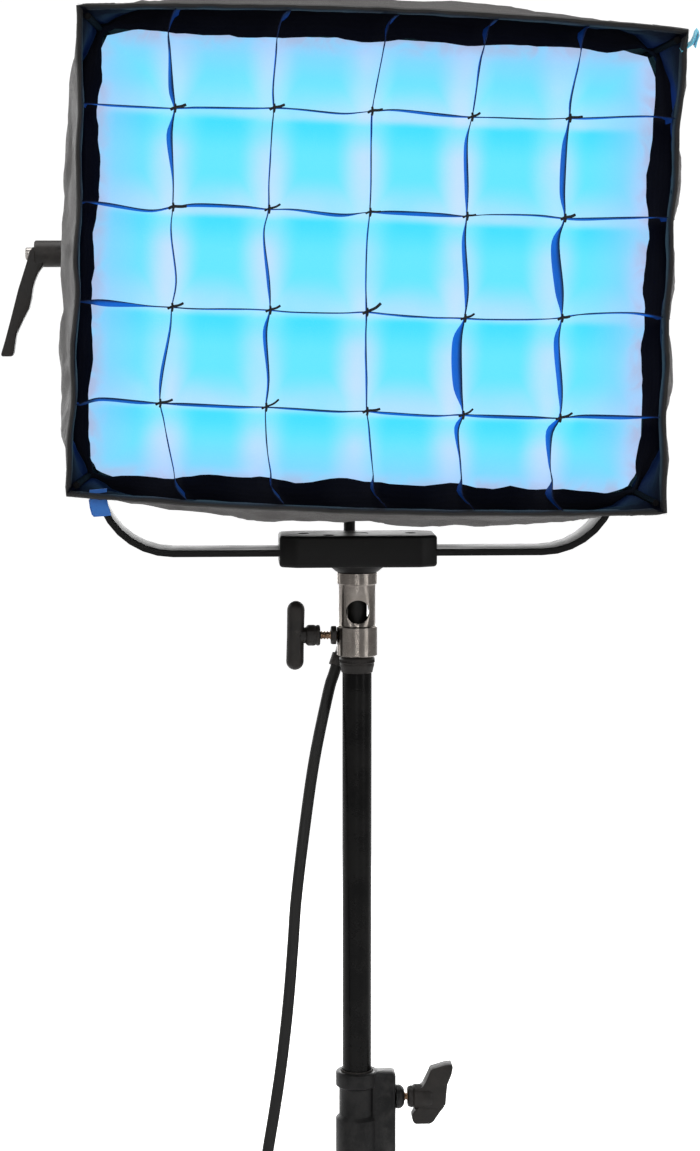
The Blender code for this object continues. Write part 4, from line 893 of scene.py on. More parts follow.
def diffuserCloth():
    # white cloth with the lamp's light painted in as emission from behind: cyan in each cell's middle,
    # painted halos paler towards the strips, cooler at the rim
    made, tree, shader = newMaterial("diffuserLitCloth")
    place = addNode(tree, "TexCoord").outputs["UV"]
    body = addNode(tree, "TexCoord").outputs["Object"]
    split = addNode(tree, "SeparateXYZ", {"Vector": place})
    wander = addNode(tree, "TexNoise", {"Vector": body, "Scale": 17.0, "Detail": 2.0}).outputs["Fac"]
    shift = reckon(tree, "MULTIPLY_ADD", wander, 0.05, -0.025)
    across = reckon(tree, "FRACT",
                    reckon(tree, "ADD", reckon(tree, "MULTIPLY_ADD", split.outputs["X"], 14.37, 0.10), shift))
    up = reckon(tree, "FRACT",
                reckon(tree, "ADD", reckon(tree, "MULTIPLY_ADD", split.outputs["Y"], 14.30, 0.485), shift))
    sideways = reckon(tree, "MINIMUM", across, reckon(tree, "SUBTRACT", 1.0, across))
    # painted light and shade from the grid strips: pale halos beside the uprights, above each level and just
    # under it, deeper cyan further under each level
    nearUpright = ramp(tree, sideways, 0.0, 0.34, 1.0, 0.0)
    nearFoot = ramp(tree, up, 0.0, 0.42, 1.0, 0.0)
    underLevel = ramp(tree, up, 0.58, 0.93)
    paintedStripHalo = reckon(tree, "MAXIMUM", reckon(tree, "MULTIPLY", nearUpright, 0.85),
                  reckon(tree, "MULTIPLY", nearFoot, 0.62))
    justUnder = ramp(tree, up, 0.90, 1.0)
    underLevel = reckon(tree, "SUBTRACT", underLevel, reckon(tree, "MULTIPLY", justUnder, 0.92))
    paintedStripHalo = reckon(tree, "MULTIPLY", paintedStripHalo,
                  reckon(tree, "SUBTRACT", 1.0, reckon(tree, "MULTIPLY", underLevel, 0.75)))
    paintedStripHalo = reckon(tree, "MAXIMUM", paintedStripHalo, reckon(tree, "MULTIPLY", justUnder, 0.62))
    blotch = addNode(tree, "TexNoise", {"Vector": body, "Scale": 11.0, "Detail": 3.0}).outputs["Fac"]
    paintedStripHalo = reckon(tree, "MULTIPLY", paintedStripHalo, ramp(tree, blotch, 0.30, 0.62, 0.55, 1.15))
    colour = blendColours(tree, paintedStripHalo, (0.115, 0.800, 1.0), (0.545, 0.745, 1.0))
    # painted shade: deeper cyan under each level
    deep = reckon(tree, "MULTIPLY", underLevel, ramp(tree, sideways, 0.08, 0.38))
    colour = blendColours(tree, reckon(tree, "MULTIPLY", deep, 0.75), colour, (0.018, 0.730, 1.0))
    # painted light: the glow turns a cooler blue towards the diffuser's rim
    rimX = ramp(tree, reckon(tree, "ABSOLUTE", split.outputs["X"]), 0.150, 0.205)
    rimZ = ramp(tree, reckon(tree, "ABSOLUTE", split.outputs["Y"]), 0.118, 0.165)
    rim = reckon(tree, "MAXIMUM", rimX, rimZ)
    colour = blendColours(tree, reckon(tree, "MULTIPLY", rim, 0.62), colour, (0.305, 0.560, 1.0))
    # painted shade: a lavender, crease-patterned band along the diffuser's edge, where its cloth wrinkles
    edge = reckon(tree, "MAXIMUM", ramp(tree, reckon(tree, "ABSOLUTE", split.outputs["X"]), 0.186, 0.203),
                  ramp(tree, reckon(tree, "ABSOLUTE", split.outputs["Y"]), 0.146, 0.163))
    creases = addNode(tree, "TexNoise",
                      {"Vector": body, "Scale": 42.0, "Detail": 6.0, "Distortion": 1.4}).outputs["Fac"]
    edge = reckon(tree, "MULTIPLY", edge, ramp(tree, creases, 0.30, 0.66, 0.15, 0.95))
    colour = blendColours(tree, reckon(tree, "MULTIPLY", edge, 0.75), colour, (0.560, 0.555, 0.800))
    weave = reckon(tree, "MAXIMUM",
                   addNode(tree, "TexWave", {"Vector": place, "Scale": 420.0, "Distortion": 0.8},
                           bands_direction="X").outputs["Fac"],
                   addNode(tree, "TexWave", {"Vector": place, "Scale": 420.0, "Distortion": 0.8},
                           bands_direction="Y").outputs["Fac"])
    strength = reckon(tree, "MULTIPLY_ADD", weave, 0.05, 0.93)
    # painted shade: the glow is dimmer along that creased edge
    strength = reckon(tree, "MULTIPLY", strength, ramp(tree, edge, 0.0, 1.0, 1.0, 0.86))
    bump = addNode(tree, "Bump", {"Height": reckon(tree, "MULTIPLY_ADD", creases, 2.0,
                                                   reckon(tree, "MULTIPLY", weave, 0.15)),
                                  "Strength": 0.6, "Distance": 0.001}).outputs[0]
    tree.links.new(colour, shader.inputs["Emission Color"])
    tree.links.new(strength, shader.inputs["Emission Strength"])
    tree.links.new(blendColours(tree, weave, (0.10, 0.115, 0.13), (0.13, 0.145, 0.16)),
                   shader.inputs["Base Color"])
    tree.links.new(bump, shader.inputs["Normal"])
    shader.inputs["Roughness"].default_value = 0.8
    shader.inputs["Sheen Weight"].default_value = 0.1
    made.diffuse_color = (0.3, 0.8, 1.0, 1)
    return made


# painted light: the grid strips get a blue glow and a bluer base colour near the diffuser
litStrip = paintedGlowCloth("gridStripLit", {
    "front": standY + softbox["gridFront"] - 0.004, "rear": standY + softbox["gridFront"] + 0.022,
    "dark": (0.005, 0.007, 0.020), "bright": (0.006, 0.030, 0.160), "thread": (0.008, 0.020, 0.10),
    "glowDark": (0.003, 0.060, 0.46), "glowBright": (0.001, 0.155, 0.80), "glow": 0.80,
    "within": (0.196, 0.146)})
# painted light: the lining glows blue on its side walls near the diffuser
litLining = paintedGlowCloth("liningLitDark", {
    "front": standY + softbox["frontY"] - 0.002, "rear": standY + softbox["diffuserY"] - 0.012,
    "dark": (0.004, 0.0045, 0.007), "bright": (0.006, 0.012, 0.040), "thread": (0.010, 0.012, 0.030),
    "glowDark": (0.010, 0.040, 0.20), "glowBright": (0.010, 0.050, 0.30), "glow": 0.34, "sideOnly": 0.204})
# painted light: the black rim cloth gets a faint painted blue glow near the diffuser
rimCloth = paintedGlowCloth("diffuserRimBlack", {
    "front": standY + softbox["diffuserY"] - 0.010, "rear": standY + softbox["diffuserY"] + 0.010,
    "dark": (0.004, 0.0045, 0.007), "bright": (0.005, 0.006, 0.012), "thread": (0.009, 0.010, 0.018),
    "glowDark": (0.002, 0.006, 0.030), "glowBright": (0.002, 0.010, 0.060), "glow": 0.06})
finishPiece(lining, "head", litLining, (), 60)


def hemBand():
    # binding folded over the front edge
    section = [(0.0105, 0.0012), (0.0040, 0.0014), (0.0008, 0.0011), (-0.0008, 0.0002), (-0.0008, -0.0009),
               (0.0008, -0.0020), (0.0040, -0.0022), (0.0100, -0.0021)]
    rows = []
    for depth, out in section:
        row = []
        for m, place in enumerate(frontEdge):
            outward = Vector((place.x - headMiddle.x, 0, place.z - headMiddle.z))
            side = m // softbox["aroundSide"]
            flatOut = (Vector((0, 0, -1)), Vector((1, 0, 0)), Vector((0, 0, 1)), Vector((-1, 0, 0)))[side]
            outward = (flatOut * 0.8 + outward.normalized() * 0.2).normalized()
            crumple = ripple(place.x * 60, depth * 90, place.z * 60, 5.3, 0.0007)
            row.append(place + outward * (out + crumple) + Vector((0, depth + crumple * 0.6, 0)))
        rows.append(row)
    piece = sheetPiece("frontHem", rows, 0.0007, closed=True)
    return finishPiece(piece, "head", finishes["hemFabric"], (), 55)


def stitchRow(name, path, lift, body, finish, length=0.0030, pitch=0.0046, width=0.00035):
    # one short bar of thread, copied along a path of (place, outward) pairs
    points, faces = [], []
    route = [Vector(place) for place, _ in path]
    outward = [Vector(out) for _, out in path]
    total, position, n = routeLength(route), 0.0, 0
    lengths = [0.0]
    for first, second in zip(route, route[1:]):
        lengths.append(lengths[-1] + (second - first).length)
    while position < total - length:
        while n < len(route) - 2 and lengths[n + 1] < position:
            n += 1
        share = (position - lengths[n]) / max(lengths[n + 1] - lengths[n], 1e-9)
        at = route[n].lerp(route[n + 1], share)
        along = (route[n + 1] - route[n]).normalized()
        out = outward[n].normalized()
        side = along.cross(out).normalized() * width
        base = len(points)
        for step, rise in ((0.0, 0.0), (0.25, 1.0), (0.75, 1.0), (1.0, 0.0)):
            spot = at + along * length * step + out * (lift + rise * width * 1.2)
            points += [spot - side, spot + side]
        for k in range(3):
            a = base + 2 * k
            faces.append((a, a + 1, a + 3, a + 2))
        faces.append((base, base + 6, base + 7, base + 1))
        position += pitch
    mesh = bpy.data.meshes.new(name)
    mesh.from_pydata([tuple(point) for point in points], [], faces)
    piece = bpy.data.objects.new(name, mesh)
    bpy.context.scene.collection.objects.link(piece)
    closeSurface(piece, 0.000001)
    return finishPiece(piece, body, finish)


def edgeStitches(name, edge, depth, lift):
    path = []
    for m, place in enumerate(edge + edge[:1]):
        side = (m // softbox["aroundSide"]) % 4
        out = (Vector((0, 0, -1)), Vector((1, 0, 0)), Vector((0, 0, 1)), Vector((-1, 0, 0)))[side]
        path.append((place + Vector((0, depth, 0)), out))
    return stitchRow(name, path, lift, "head", finishes["shellFabric"])


hem = hemBand()
hemStitches = edgeStitches("hemStitches", frontEdge, 0.0080, 0.0019)


def cornerPatches():
    # small triangles of heavier cloth sewn over the pinched corners
    made = []
    for n, (side, sign) in enumerate(((0, -1), (0, 1), (2, -1), (2, 1))):
        rows = []
        for step in range(7):
            share = 0.01 + 0.030 * step
            row = []
            for m in range(9):
                t = sign * (1 - (0.012 + (0.105 - 0.014 * step) * m / 8))
                x, z = wallPoint(side, t, share)
                outX, outZ = (0, -1) if side == 0 else (0, 1)
                y = softbox["frontY"] + (softbox["rearY"] - softbox["frontY"]) * share
                puff = 0.0012 + ripple(x * 90, y * 90, z * 90, n, 0.0006)
                row.append(rolled(x + outX * puff, y, z + outZ * puff))
            rows.append(row)
        piece = sheetPiece(f"cornerPatch{n}", rows, 0.0006)
        made.append(finishPiece(piece, "head", finishes["hemFabric"], (), 60))
    return made


patches = cornerPatches()


def notchedCorner(x, z, halfX, halfZ, cutX, cutZ):
    # 1 inside a rectangle with slanted corners, at its edge 0
    overX, overZ = max(0.0, abs(x) - (halfX - cutX)) / cutX, max(0.0, abs(z) - (halfZ - cutZ)) / cutZ
    return overX + overZ


def buildDiffuser():
    halfX, halfZ = (size / 2 for size in softbox["diffuserSize"])
    wide, tall = 76, 60
    rows = []
    for n in range(tall + 1):
        row = []
        for m in range(wide + 1):
            x, z = (2 * m / wide - 1) * (halfX - 0.0008), (2 * n / tall - 1) * (halfZ - 0.0008)
            over = notchedCorner(x, z, halfX, halfZ, 0.030, 0.024)
            if over > 1:
                x, z = x * (1 - 0.040 * (over - 1)), z * (1 - 0.040 * (over - 1))
            row.append(rolled(x, softbox["diffuserY"] + 0.0004, z))
        rows.append(row)
    piece = sheetPiece("diffuserSheet", rows, 0)
    uv = piece.data.uv_layers["cloth"].data
    for loop in piece.data.loops:
        place = piece.data.vertices[loop.vertex_index].co - headMiddle
        uv[loop.index].uv = (place.x * math.cos(rollAngle) - place.z * math.sin(rollAngle),
                             place.x * math.sin(rollAngle) + place.z * math.cos(rollAngle))
    held = {}
    for n in range(tall + 1):
        for m in range(wide + 1):
            if m % 19 == 0 and n in (0, tall) or n % 20 == 0 and m in (0, wide):
                held[n * (wide + 1) + m] = 1.0
            elif n in (0, tall) or m in (0, wide):
                held[n * (wide + 1) + m] = 0.25
    rest = [vertex.co.copy() for vertex in piece.data.vertices]
    simulateCloth(piece, held,
                  {"mass": 0.08, "stiffness": 12.0, "bending": 0.05, "spare": 0.008, "frames": 18})
    keepNear(piece, rest, 0.006)
    for vertex in piece.data.vertices:
        place = vertex.co - headMiddle
        rim = max(abs(place.x) / halfX, abs(place.z) / halfZ)
        slack = max(0.0, (rim - 0.72) / 0.28)
        corner = max(0.0, abs(place.x) / halfX + abs(place.z) / halfZ - 1.45) * 2.0
        wave = ripple(place.x * 30, 0, place.z * 30, 6.2, 0.0022) * slack
        pucker = ripple((place.x - place.z) * 110, place.x * 8, place.z * 8, 2.4, 0.0026) * corner
        vertex.co.y = max(vertex.co.y + wave + pucker, headMiddle.y + softbox["diffuserY"] - 0.0026)
    addThickness(piece, 0.0006)
    finishPiece(piece, "head", diffuserCloth(), ["diffuser"], 60)
    return piece


def innerEdge(x, z, seed):
    # how far the black border's inner edge wanders
    return ripple(x * 34, seed, z * 34, seed, 0.0042) + ripple(x * 90, seed, z * 90, seed + 4, 0.0014)


def buildBorder():
    # black cloth between the wall and the diffuser, lapping over the diffuser's edge
    halfX, halfZ = (size / 2 for size in softbox["diffuserSize"])
    count = softbox["aroundSide"]
    inner, outer = [], []
    for side in range(4):
        for m in range(count):
            wall = wallAtDiffuser[side * count + m] - headMiddle
            x = (wall.x * math.cos(rollAngle) - wall.z * math.sin(rollAngle)) * 0.984
            z = (wall.x * math.sin(rollAngle) + wall.z * math.cos(rollAngle)) * 0.981
            outer.append((x, z))
            inX, inZ = x, z
            inX = max(-halfX, min(halfX, inX))
            inZ = max(-halfZ, min(halfZ, inZ))
            lap = 0.0030 + innerEdge(x, z, 7.7)
            inX -= math.copysign(lap, x) if abs(x) > halfX - 0.012 else 0
            inZ -= math.copysign(lap, z) if abs(z) > halfZ - 0.012 else 0
            over = notchedCorner(inX, inZ, halfX, halfZ, 0.010, 0.009)
            if over > 1:
                inX, inZ = inX * (1 - 0.045 * (over - 1)), inZ * (1 - 0.045 * (over - 1))
            inner.append((inX, inZ))
    rows = []
    for n in range(7):
        share = n / 6
        row = []
        for (ox, oz), (ix, iz) in zip(outer, inner):
            x, z = ox + (ix - ox) * share, oz + (iz - oz) * share
            y = (softbox["diffuserY"] - 0.0048 - 0.0012 * math.sin(math.pi * share)
                 + ripple(x * 70, n, z * 70, 1.9, 0.0010))
            row.append(rolled(x, y, z))
        rows.append(row)
    piece = sheetPiece("diffuserRim", rows, 0.0006, closed=True)
    return finishPiece(piece, "head", rimCloth, ["diffuser_border"], 60)


diffuser = buildDiffuser()
border = buildBorder()

grid = {
    "thickness": 0.0005, "hemX": 0.2105, "hemZ": 0.1695, "lean": 0.023,
    # the places where the strips cross, at their front edges, from the top level down
    "crossings": [[(-0.1450, 0.1029), (-0.0757, 0.1056), (-0.0068, 0.1061), (0.0639, 0.1047),
                   (0.1333, 0.1066)],
                  [(-0.1445, 0.0342), (-0.0770, 0.0352), (-0.0057, 0.0357), (0.0631, 0.0354),
                   (0.1328, 0.0366)],
                  [(-0.1432, -0.0358), (-0.0740, -0.0355), (-0.0053, -0.0345), (0.0645, -0.0364),
                   (0.1337, -0.0340)],
                  [(-0.1498, -0.1037), (-0.0747, -0.1041), (-0.0028, -0.1046), (0.0658, -0.1052),
                   (0.1354, -0.1051)]],
    "topEnds": [-0.1459, -0.0699, 0.0061, 0.0761, 0.1446],
    "bottomEnds": [-0.1315, -0.0627, 0.0106, 0.0739, 0.1390],
    # for each stretch between crossings: early and late bend, then early and late twist, in millimetres
    "uprightFolds": [
        [(0, 0, 1.0, 3.0), (-1.5, 0, 4.0, 0.6), (-1.0, 3.0, 0.6, 0.8), (1.0, -0.5, 1.0, 1.8),
         (0, 0, 0.5, 0.4)],
        [(0, -1.0, 1.0, 0.8), (-0.5, -0.8, 0.5, 0.5), (-3.5, 0, 0.8, 2.0), (-1.5, 1.5, 2.8, 1.5),
         (-1, -1, 0.5, 0.5)],
        [(0, 0, 0.8, 0.8), (0, 0.5, 0.5, 0.5), (-1.2, -1.2, 0.6, 0.6), (-0.6, 0, 0.7, 1.0),
         (0.5, 0, 0.7, 0.6)],
        [(-0.5, 0, 1.0, 0.8), (-2.2, 0, 2.2, 2.4), (-0.5, 2.2, 2.6, 3.0), (-2.0, -1.0, 6.5, 6.5),
         (-3.0, -1.0, 3.0, 1.0)],
        [(0, -1.0, 1.0, 1.5), (-1.0, -1.0, 3.5, 3.5), (-3.5, 0.5, 5.5, 6.0), (-1.5, 1.5, 3.8, 3.6),
         (-4.0, -3.0, 4.5, 1.5)]],
    "levelFolds": [
        [(0, 0, 1.2, 1.0), (0.8, 0.3, 1.0, 1.0), (0, -2.0, 0.6, 0.8), (2.2, 1.0, 1.0, 1.6),
         (0, -0.6, 0.5, 0.6), (0.5, 1.5, 1.6, 1.2)],
        [(0, -3.0, 2.4, 1.5), (2.8, 2.0, 2.2, 1.6), (0.5, -1.8, 0.8, 2.0), (1.5, 1.2, 2.4, 2.4),
         (1.5, 1.8, 0.5, 0.8), (0, 0.5, 2.0, 1.4)],
        [(2.0, 0, 4.5, 0.8), (-0.5, 0.3, 0.5, 0.5), (-1, -1, 0.5, 0.5), (-0.5, -0.8, 0.6, 0.7),
         (-0.8, -0.8, 0.6, 0.8), (3.0, 3.5, 0.8, 0.8)],
        [(4.5, 2.0, 2.0, 2.2), (0.5, 0, 1.8, 1.6), (0, -0.8, 1.0, 1.0), (-0.5, -1.0, 1.2, 1.2),
         (0.5, 0.5, 1.8, 2.0), (2.0, 1.0, 2.2, 2.6)]],
}


def foldedEdges(stops, folds, across):
    # across is 0 for an upright, whose bends run along x, and 1 for a level, whose bends run along z
    front, rear = [], []

    def addSpot(x, z, twist):
        front.append((x, z))
        if across == 0:
            rear.append((x + (x + 0.123) * grid["lean"] - twist, z))
        else:
            rear.append((x, z + (z + 0.014) * grid["lean"] - twist))

    for n, (x, z) in enumerate(stops):
        addSpot(x, z, 0.0004)
        if n == len(stops) - 1:
            break
        nextX, nextZ = stops[n + 1]
        bendEarly, bendLate, twistEarly, twistLate = (value / 1000 for value in folds[n])
        for share, bend, twist in ((0.25, bendEarly, twistEarly), (0.72, bendLate, twistLate)):
            midX, midZ = x + (nextX - x) * share, z + (nextZ - z) * share
            addSpot(midX + (bend if across == 0 else 0), midZ + (bend if across else 0), twist)
    return front, rear


def gridEdges():
    # front and rear edge of every strip, as softbox (x, z) points
    uprights, levels = [], []
    hemX, hemZ = grid["hemX"], grid["hemZ"]
    for n in range(5):
        top, foot = grid["topEnds"][n], grid["bottomEnds"][n]
        stops = [(top - 0.0050, hemZ - 0.012)] + [level[n] for level in grid["crossings"]]
        stops += [(foot - 0.0070, -hemZ + 0.0165)]
        front, rear = foldedEdges(stops, grid["uprightFolds"][n], 0)
        front = [(top + 0.0040, hemZ + 0.0040), (top - 0.0015, hemZ + 0.0010)] + front
        rear = [(top + 0.0010, hemZ + 0.0020), (top - 0.0025, hemZ - 0.0010)] + rear
        front += [(foot - 0.0055, -hemZ + 0.0060), (foot + 0.0030, -hemZ - 0.0035)]
        rear += [(foot - 0.0060, -hemZ + 0.0070), (foot + 0.0005, -hemZ - 0.0010)]
        uprights.append((front, rear))
    for row, level in enumerate(grid["crossings"]):
        lift = (0.0010, 0.0018, 0.0020, -0.0030)[row]
        stops = [(-hemX + 0.003, level[0][1] + lift)] + level + [(hemX - 0.004, level[4][1] + 0.0030)]
        front, rear = foldedEdges(stops, grid["levelFolds"][row], 1)
        front = [(-hemX - 0.0020, level[0][1] + lift)] + front + [(hemX + 0.0010, level[4][1] + 0.0020)]
        rear = [(-hemX + 0.0008, level[0][1] + lift - 0.0005)] + rear + [(hemX - 0.0012,
                                                                          level[4][1] + 0.0010)]
        levels.append((front, rear))
    return uprights, levels


def evenPoints(line, count):
    return [line[round(n * (len(line) - 1) / (count - 1))] for n in range(count)]


def stripPiece(name, front, rear, step):
    # a cloth strip between its two edge lines, with eight rows across its depth
    front = smoothRoute([(x, 0, z) for x, z in front], 0.0034)
    rear = smoothRoute([(x, 0, z) for x, z in rear], 0.0034)
    count = min(len(front), len(rear))
    front, rear = evenPoints(front, count), evenPoints(rear, count)
    rows = []
    for n in range(8):
        share = n / 7
        y = softbox["gridFront"] + step + (softbox["gridRear"] - softbox["gridFront"] - 2 * step) * share
        row = []
        for before, after in zip(front, rear):
            spot = before.lerp(after, share)
            belly = math.sin(math.pi * share)
            row.append(rolled(spot.x + ripple(spot.x * 40, y * 30, spot.z * 40, 2.2, 0.0010) * belly, y,
                              spot.z + ripple(spot.x * 40, y * 30, spot.z * 40, 9.4, 0.0010) * belly))
        rows.append(row)
    return sheetPiece(name, rows, grid["thickness"])


def buildGrid():
    uprights, levels = gridEdges()
    strips = [stripPiece(f"upright{n}", front, rear, 0.0) for n, (front, rear) in enumerate(uprights)]
    strips += [stripPiece(f"level{n}", front, rear, 0.0006) for n, (front, rear) in enumerate(levels)]
    area = sum(sum(face.area for face in strip.data.polygons) for strip in strips) / 2
    piece = joined("gridStrips", strips)
    finishPiece(piece, "head", litStrip, ["egg_crate_grid"], 60)
    return piece, area


gridStrips, gridArea = buildGrid()
print("grid:", round(gridArea, 4), "m2")


def barTacks():
    # tight stitching with loose thread ends where the strips cross
    made = []
    for level in grid["crossings"]:
        for x, z in level:
            lean = random.uniform(0.1, 0.9)
            reach = random.uniform(0.005, 0.0095)
            y = softbox["gridFront"] - 0.0008
            route = [rolled(x - 0.0030, y, z - 0.0012), rolled(x, y - 0.0010, z + 0.0003),
                     rolled(x + reach * 0.6, y - 0.0014, z + reach * 0.35 * lean),
                     rolled(x + reach, y - 0.0006, z + reach * lean * 0.75)]
            made.append(tubeAlong("tack", smoothRoute(route, 0.0012), random.uniform(0.0007, 0.0011), 2))
            route = [rolled(x, y, z + 0.0028), rolled(x + 0.0004, y - 0.0008, z), rolled(x, y, z - 0.0030)]
            made.append(tubeAlong("tack", smoothRoute(route, 0.0012), 0.0009, 2))
    piece = joined("gridBarTacks", made)
    return finishPiece(piece, "head", finishes["hemFabric"])


tacks = barTacks()


def ribbonPiece(name, centre, width, finish, replaced=()):
    # a folded tape: centre holds (place, sideways) pairs
    rows = []
    for share in (-1, -0.33, 0.33, 1):
        rows.append([Vector(place) + Vector(side).normalized() * width / 2 * share for place, side in centre])
    piece = sheetPiece(name, rows, 0.0007)
    return finishPiece(piece, "head", finish, replaced, 60)


def buildTabs():
    frontX, frontZ = (size / 2 for size in softbox["frontSize"])
    y = softbox["frontY"]
    side = rolled(0, 1, 0.35) - rolled(0, 0, 0)
    loop = [(-0.004, -0.0135), (0.0005, -0.0105), (0.0035, -0.0080), (0.0052, -0.0045), (0.0060, -0.0010),
            (0.0074, 0.0012), (0.0080, -0.0020), (0.0066, -0.0060), (0.0058, -0.0105)]
    tab = ribbonPiece("pullTab", [(rolled(frontX + x, y + 0.004, frontZ + z), side) for x, z in loop], 0.0090,
                      finishes["cyanWebbing"], ["pull_tab"])
    left = -frontX + 0.029 - 0.007
    flat = rolled(1, 0.2, 0.1) - rolled(0, 0, 0)
    strap = [(0.000, 0.004), (0.0000, -0.0020), (0.0010, -0.0075), (0.0028, -0.0125), (0.0034, -0.0150),
             (0.0018, -0.0135), (0.0004, -0.0090), (-0.0006, -0.0030)]
    hanging = ribbonPiece("hangingStrap", [(rolled(left + x, y + 0.006 + 0.3 * n * 0.001, -frontZ + z), flat)
                                           for n, (x, z) in enumerate(strap)], 0.0125,
                          finishes["blueWebbing"], ["hanging_strap"])
    return tab, hanging


pullTab, hangingStrap = buildTabs()


def rearCuff():
    # elastic cuff round the housing
    rows = []
    for depth, out in ((-0.0240, 0.0010), (-0.0225, 0.0024), (-0.0150, 0.0028), (-0.0060, 0.0028),
                       (0.0004, 0.0026),
                       (0.0016, 0.0004)):
        row = []
        for m, place in enumerate(rearEdge):
            outward = Vector((place.x - headMiddle.x, 0, place.z - headMiddle.z)).normalized()
            gather = 0.0004 * math.sin(m * 2 * math.pi / 4)
            row.append(place + outward * (out + gather) + Vector((0, depth, 0)))
        rows.append(row)
    piece = sheetPiece("rearCuff", rows, 0.0009, closed=True)
    return finishPiece(piece, "head", finishes["hemFabric"], (), 60)


cuff = rearCuff()
cuffStitches = edgeStitches("cuffStitches", rearEdge, -0.0190, 0.0036)

frontAround = sum((a - b).length for a, b in zip(frontEdge, frontEdge[1:] + frontEdge[:1]))
skirt = {"halfX": 0.1806, "halfZ": 0.1456, "innerY": -0.050, "rows": 6}


def rearSkirt():
    # gathered cloth from the wall's rear edge in to the head, so that no light gets past
    count = softbox["aroundSide"]
    rows = [[] for _ in range(skirt["rows"] + 1)]
    for side in range(4):
        along, across = (skirt["halfX"], skirt["halfZ"]) if side % 2 == 0 else (skirt["halfZ"],
                                                                                skirt["halfX"])
        for m in range(count):
            x, z = (2 * m / count - 1) * along, -across
            for _ in range(side):
                x, z = -z, x
            inner = Vector((x, skirt["innerY"], z)) + headMiddle
            outer = rearEdge[side * count + m]
            for n, row in enumerate(rows):
                share = n / skirt["rows"]
                place = outer.lerp(inner, share)
                gather = 0.0011 * math.sin(2 * math.pi * m / 4.0) + ripple(x * 60, n, z * 60, 5.3, 0.0016)
                place.y += 0.0030 * math.sin(math.pi * share) + gather * share ** 0.5 * (1 - 0.3 * share)
                row.append(place)
    piece = sheetPiece("softboxSkirt", rows, 0.0006, closed=True)
    return finishPiece(piece, "head", finishes["hemFabric"], (), 60)


rearCloth = rearSkirt()
print("softbox built; front edge", round(frontAround, 3), "m round")


# stand, riser and yoke
def carriedOver(node, name, finish, edge, segments=2, angle=32):
    piece = weldedCopy(node, name, edge, segments, angle)
    return finishPiece(piece, frame["nodes"][node]["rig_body"], finishes[finish], [node])


for node, name, finish, edge, segments in (
        ("column_tube", "columnTube", "powderCoat", 0.0006, 2),
        ("hub_stop_ring", "hubStopRing", "powderCoat", 0.0008, 3),
        ("leg_back_right", "legBackRight", "powderCoat", 0.0008, 2),
        ("leg_back_left", "legBackLeft", "powderCoat", 0.0008, 2),
        ("leg_front", "legFront", "powderCoat", 0.0008, 2),
        ("collar_casting", "collarCasting", "castGrey", 0.0010, 3),
        ("collar_bush", "collarBush", "nylon", 0.0003, 2),
        ("spigot_pin", "spigotPin", "powderCoat", 0.0003, 2),
        ("yoke_bar", "yokeBar", "anodised", 0.0008, 3), ("block_bolt", "blockBolt", "anodised", 0.0004, 2),
        ("yoke_cable_strap", "yokeCableStrap", "nylon", 0.0003, 2),
        ("riser_cable_strap", "riserCableStrap", "nylon", 0.0003, 2),
        ("housing", "headHousing", "anodised", 0.0012, 3),
        ("front_bezel", "frontBezel", "anodised", 0.0010, 3),
        ("rear_cover", "rearCover", "anodised", 0.0007, 2),
        ("electronics_case", "electronicsCase", "nylon", 0.0, 2),
        ("control_panel", "controlPanel", "anodised", 0.0003, 2),
        ("mixing_panel", "mixingPanel", "whitePlastic", 0.0004, 2),
        ("mixing_chamber", "mixingChamber", "whitePlastic", 0.0, 2),
        ("led_board", "ledBoard", "boardGreen", 0.0002, 1),
        ("heat_sink", "heatSink", "bareAluminium", 0.0003, 1),
        ("trunnion_left", "trunnionLeft", "nickelAcross", 0.0006, 3),
        ("trunnion_right", "trunnionRight", "nickelAcross", 0.0006, 3),
        ("mounting_frame", "mountingFrame", "nylon", 0.0006, 2),
        ("corner_rod_top_left", "rodTopLeft", "fibreglass", 0.0, 1),
        ("corner_rod_top_right", "rodTopRight", "fibreglass", 0.0, 1),
        ("corner_rod_bottom_left", "rodBottomLeft", "fibreglass", 0.0, 1),
        ("corner_rod_bottom_right", "rodBottomRight", "fibreglass", 0.0, 1)):
    carriedOver(node, name, finish, edge, segments)
print("frame pieces carried over")


def onAxis(z, x=0.0, y=0.0):
    return (x, standY + y, z)


riser = {"radius": 0.0118, "wall": 0.0015, "capFlutes": 20, "capTeethDepth": 0.0005}


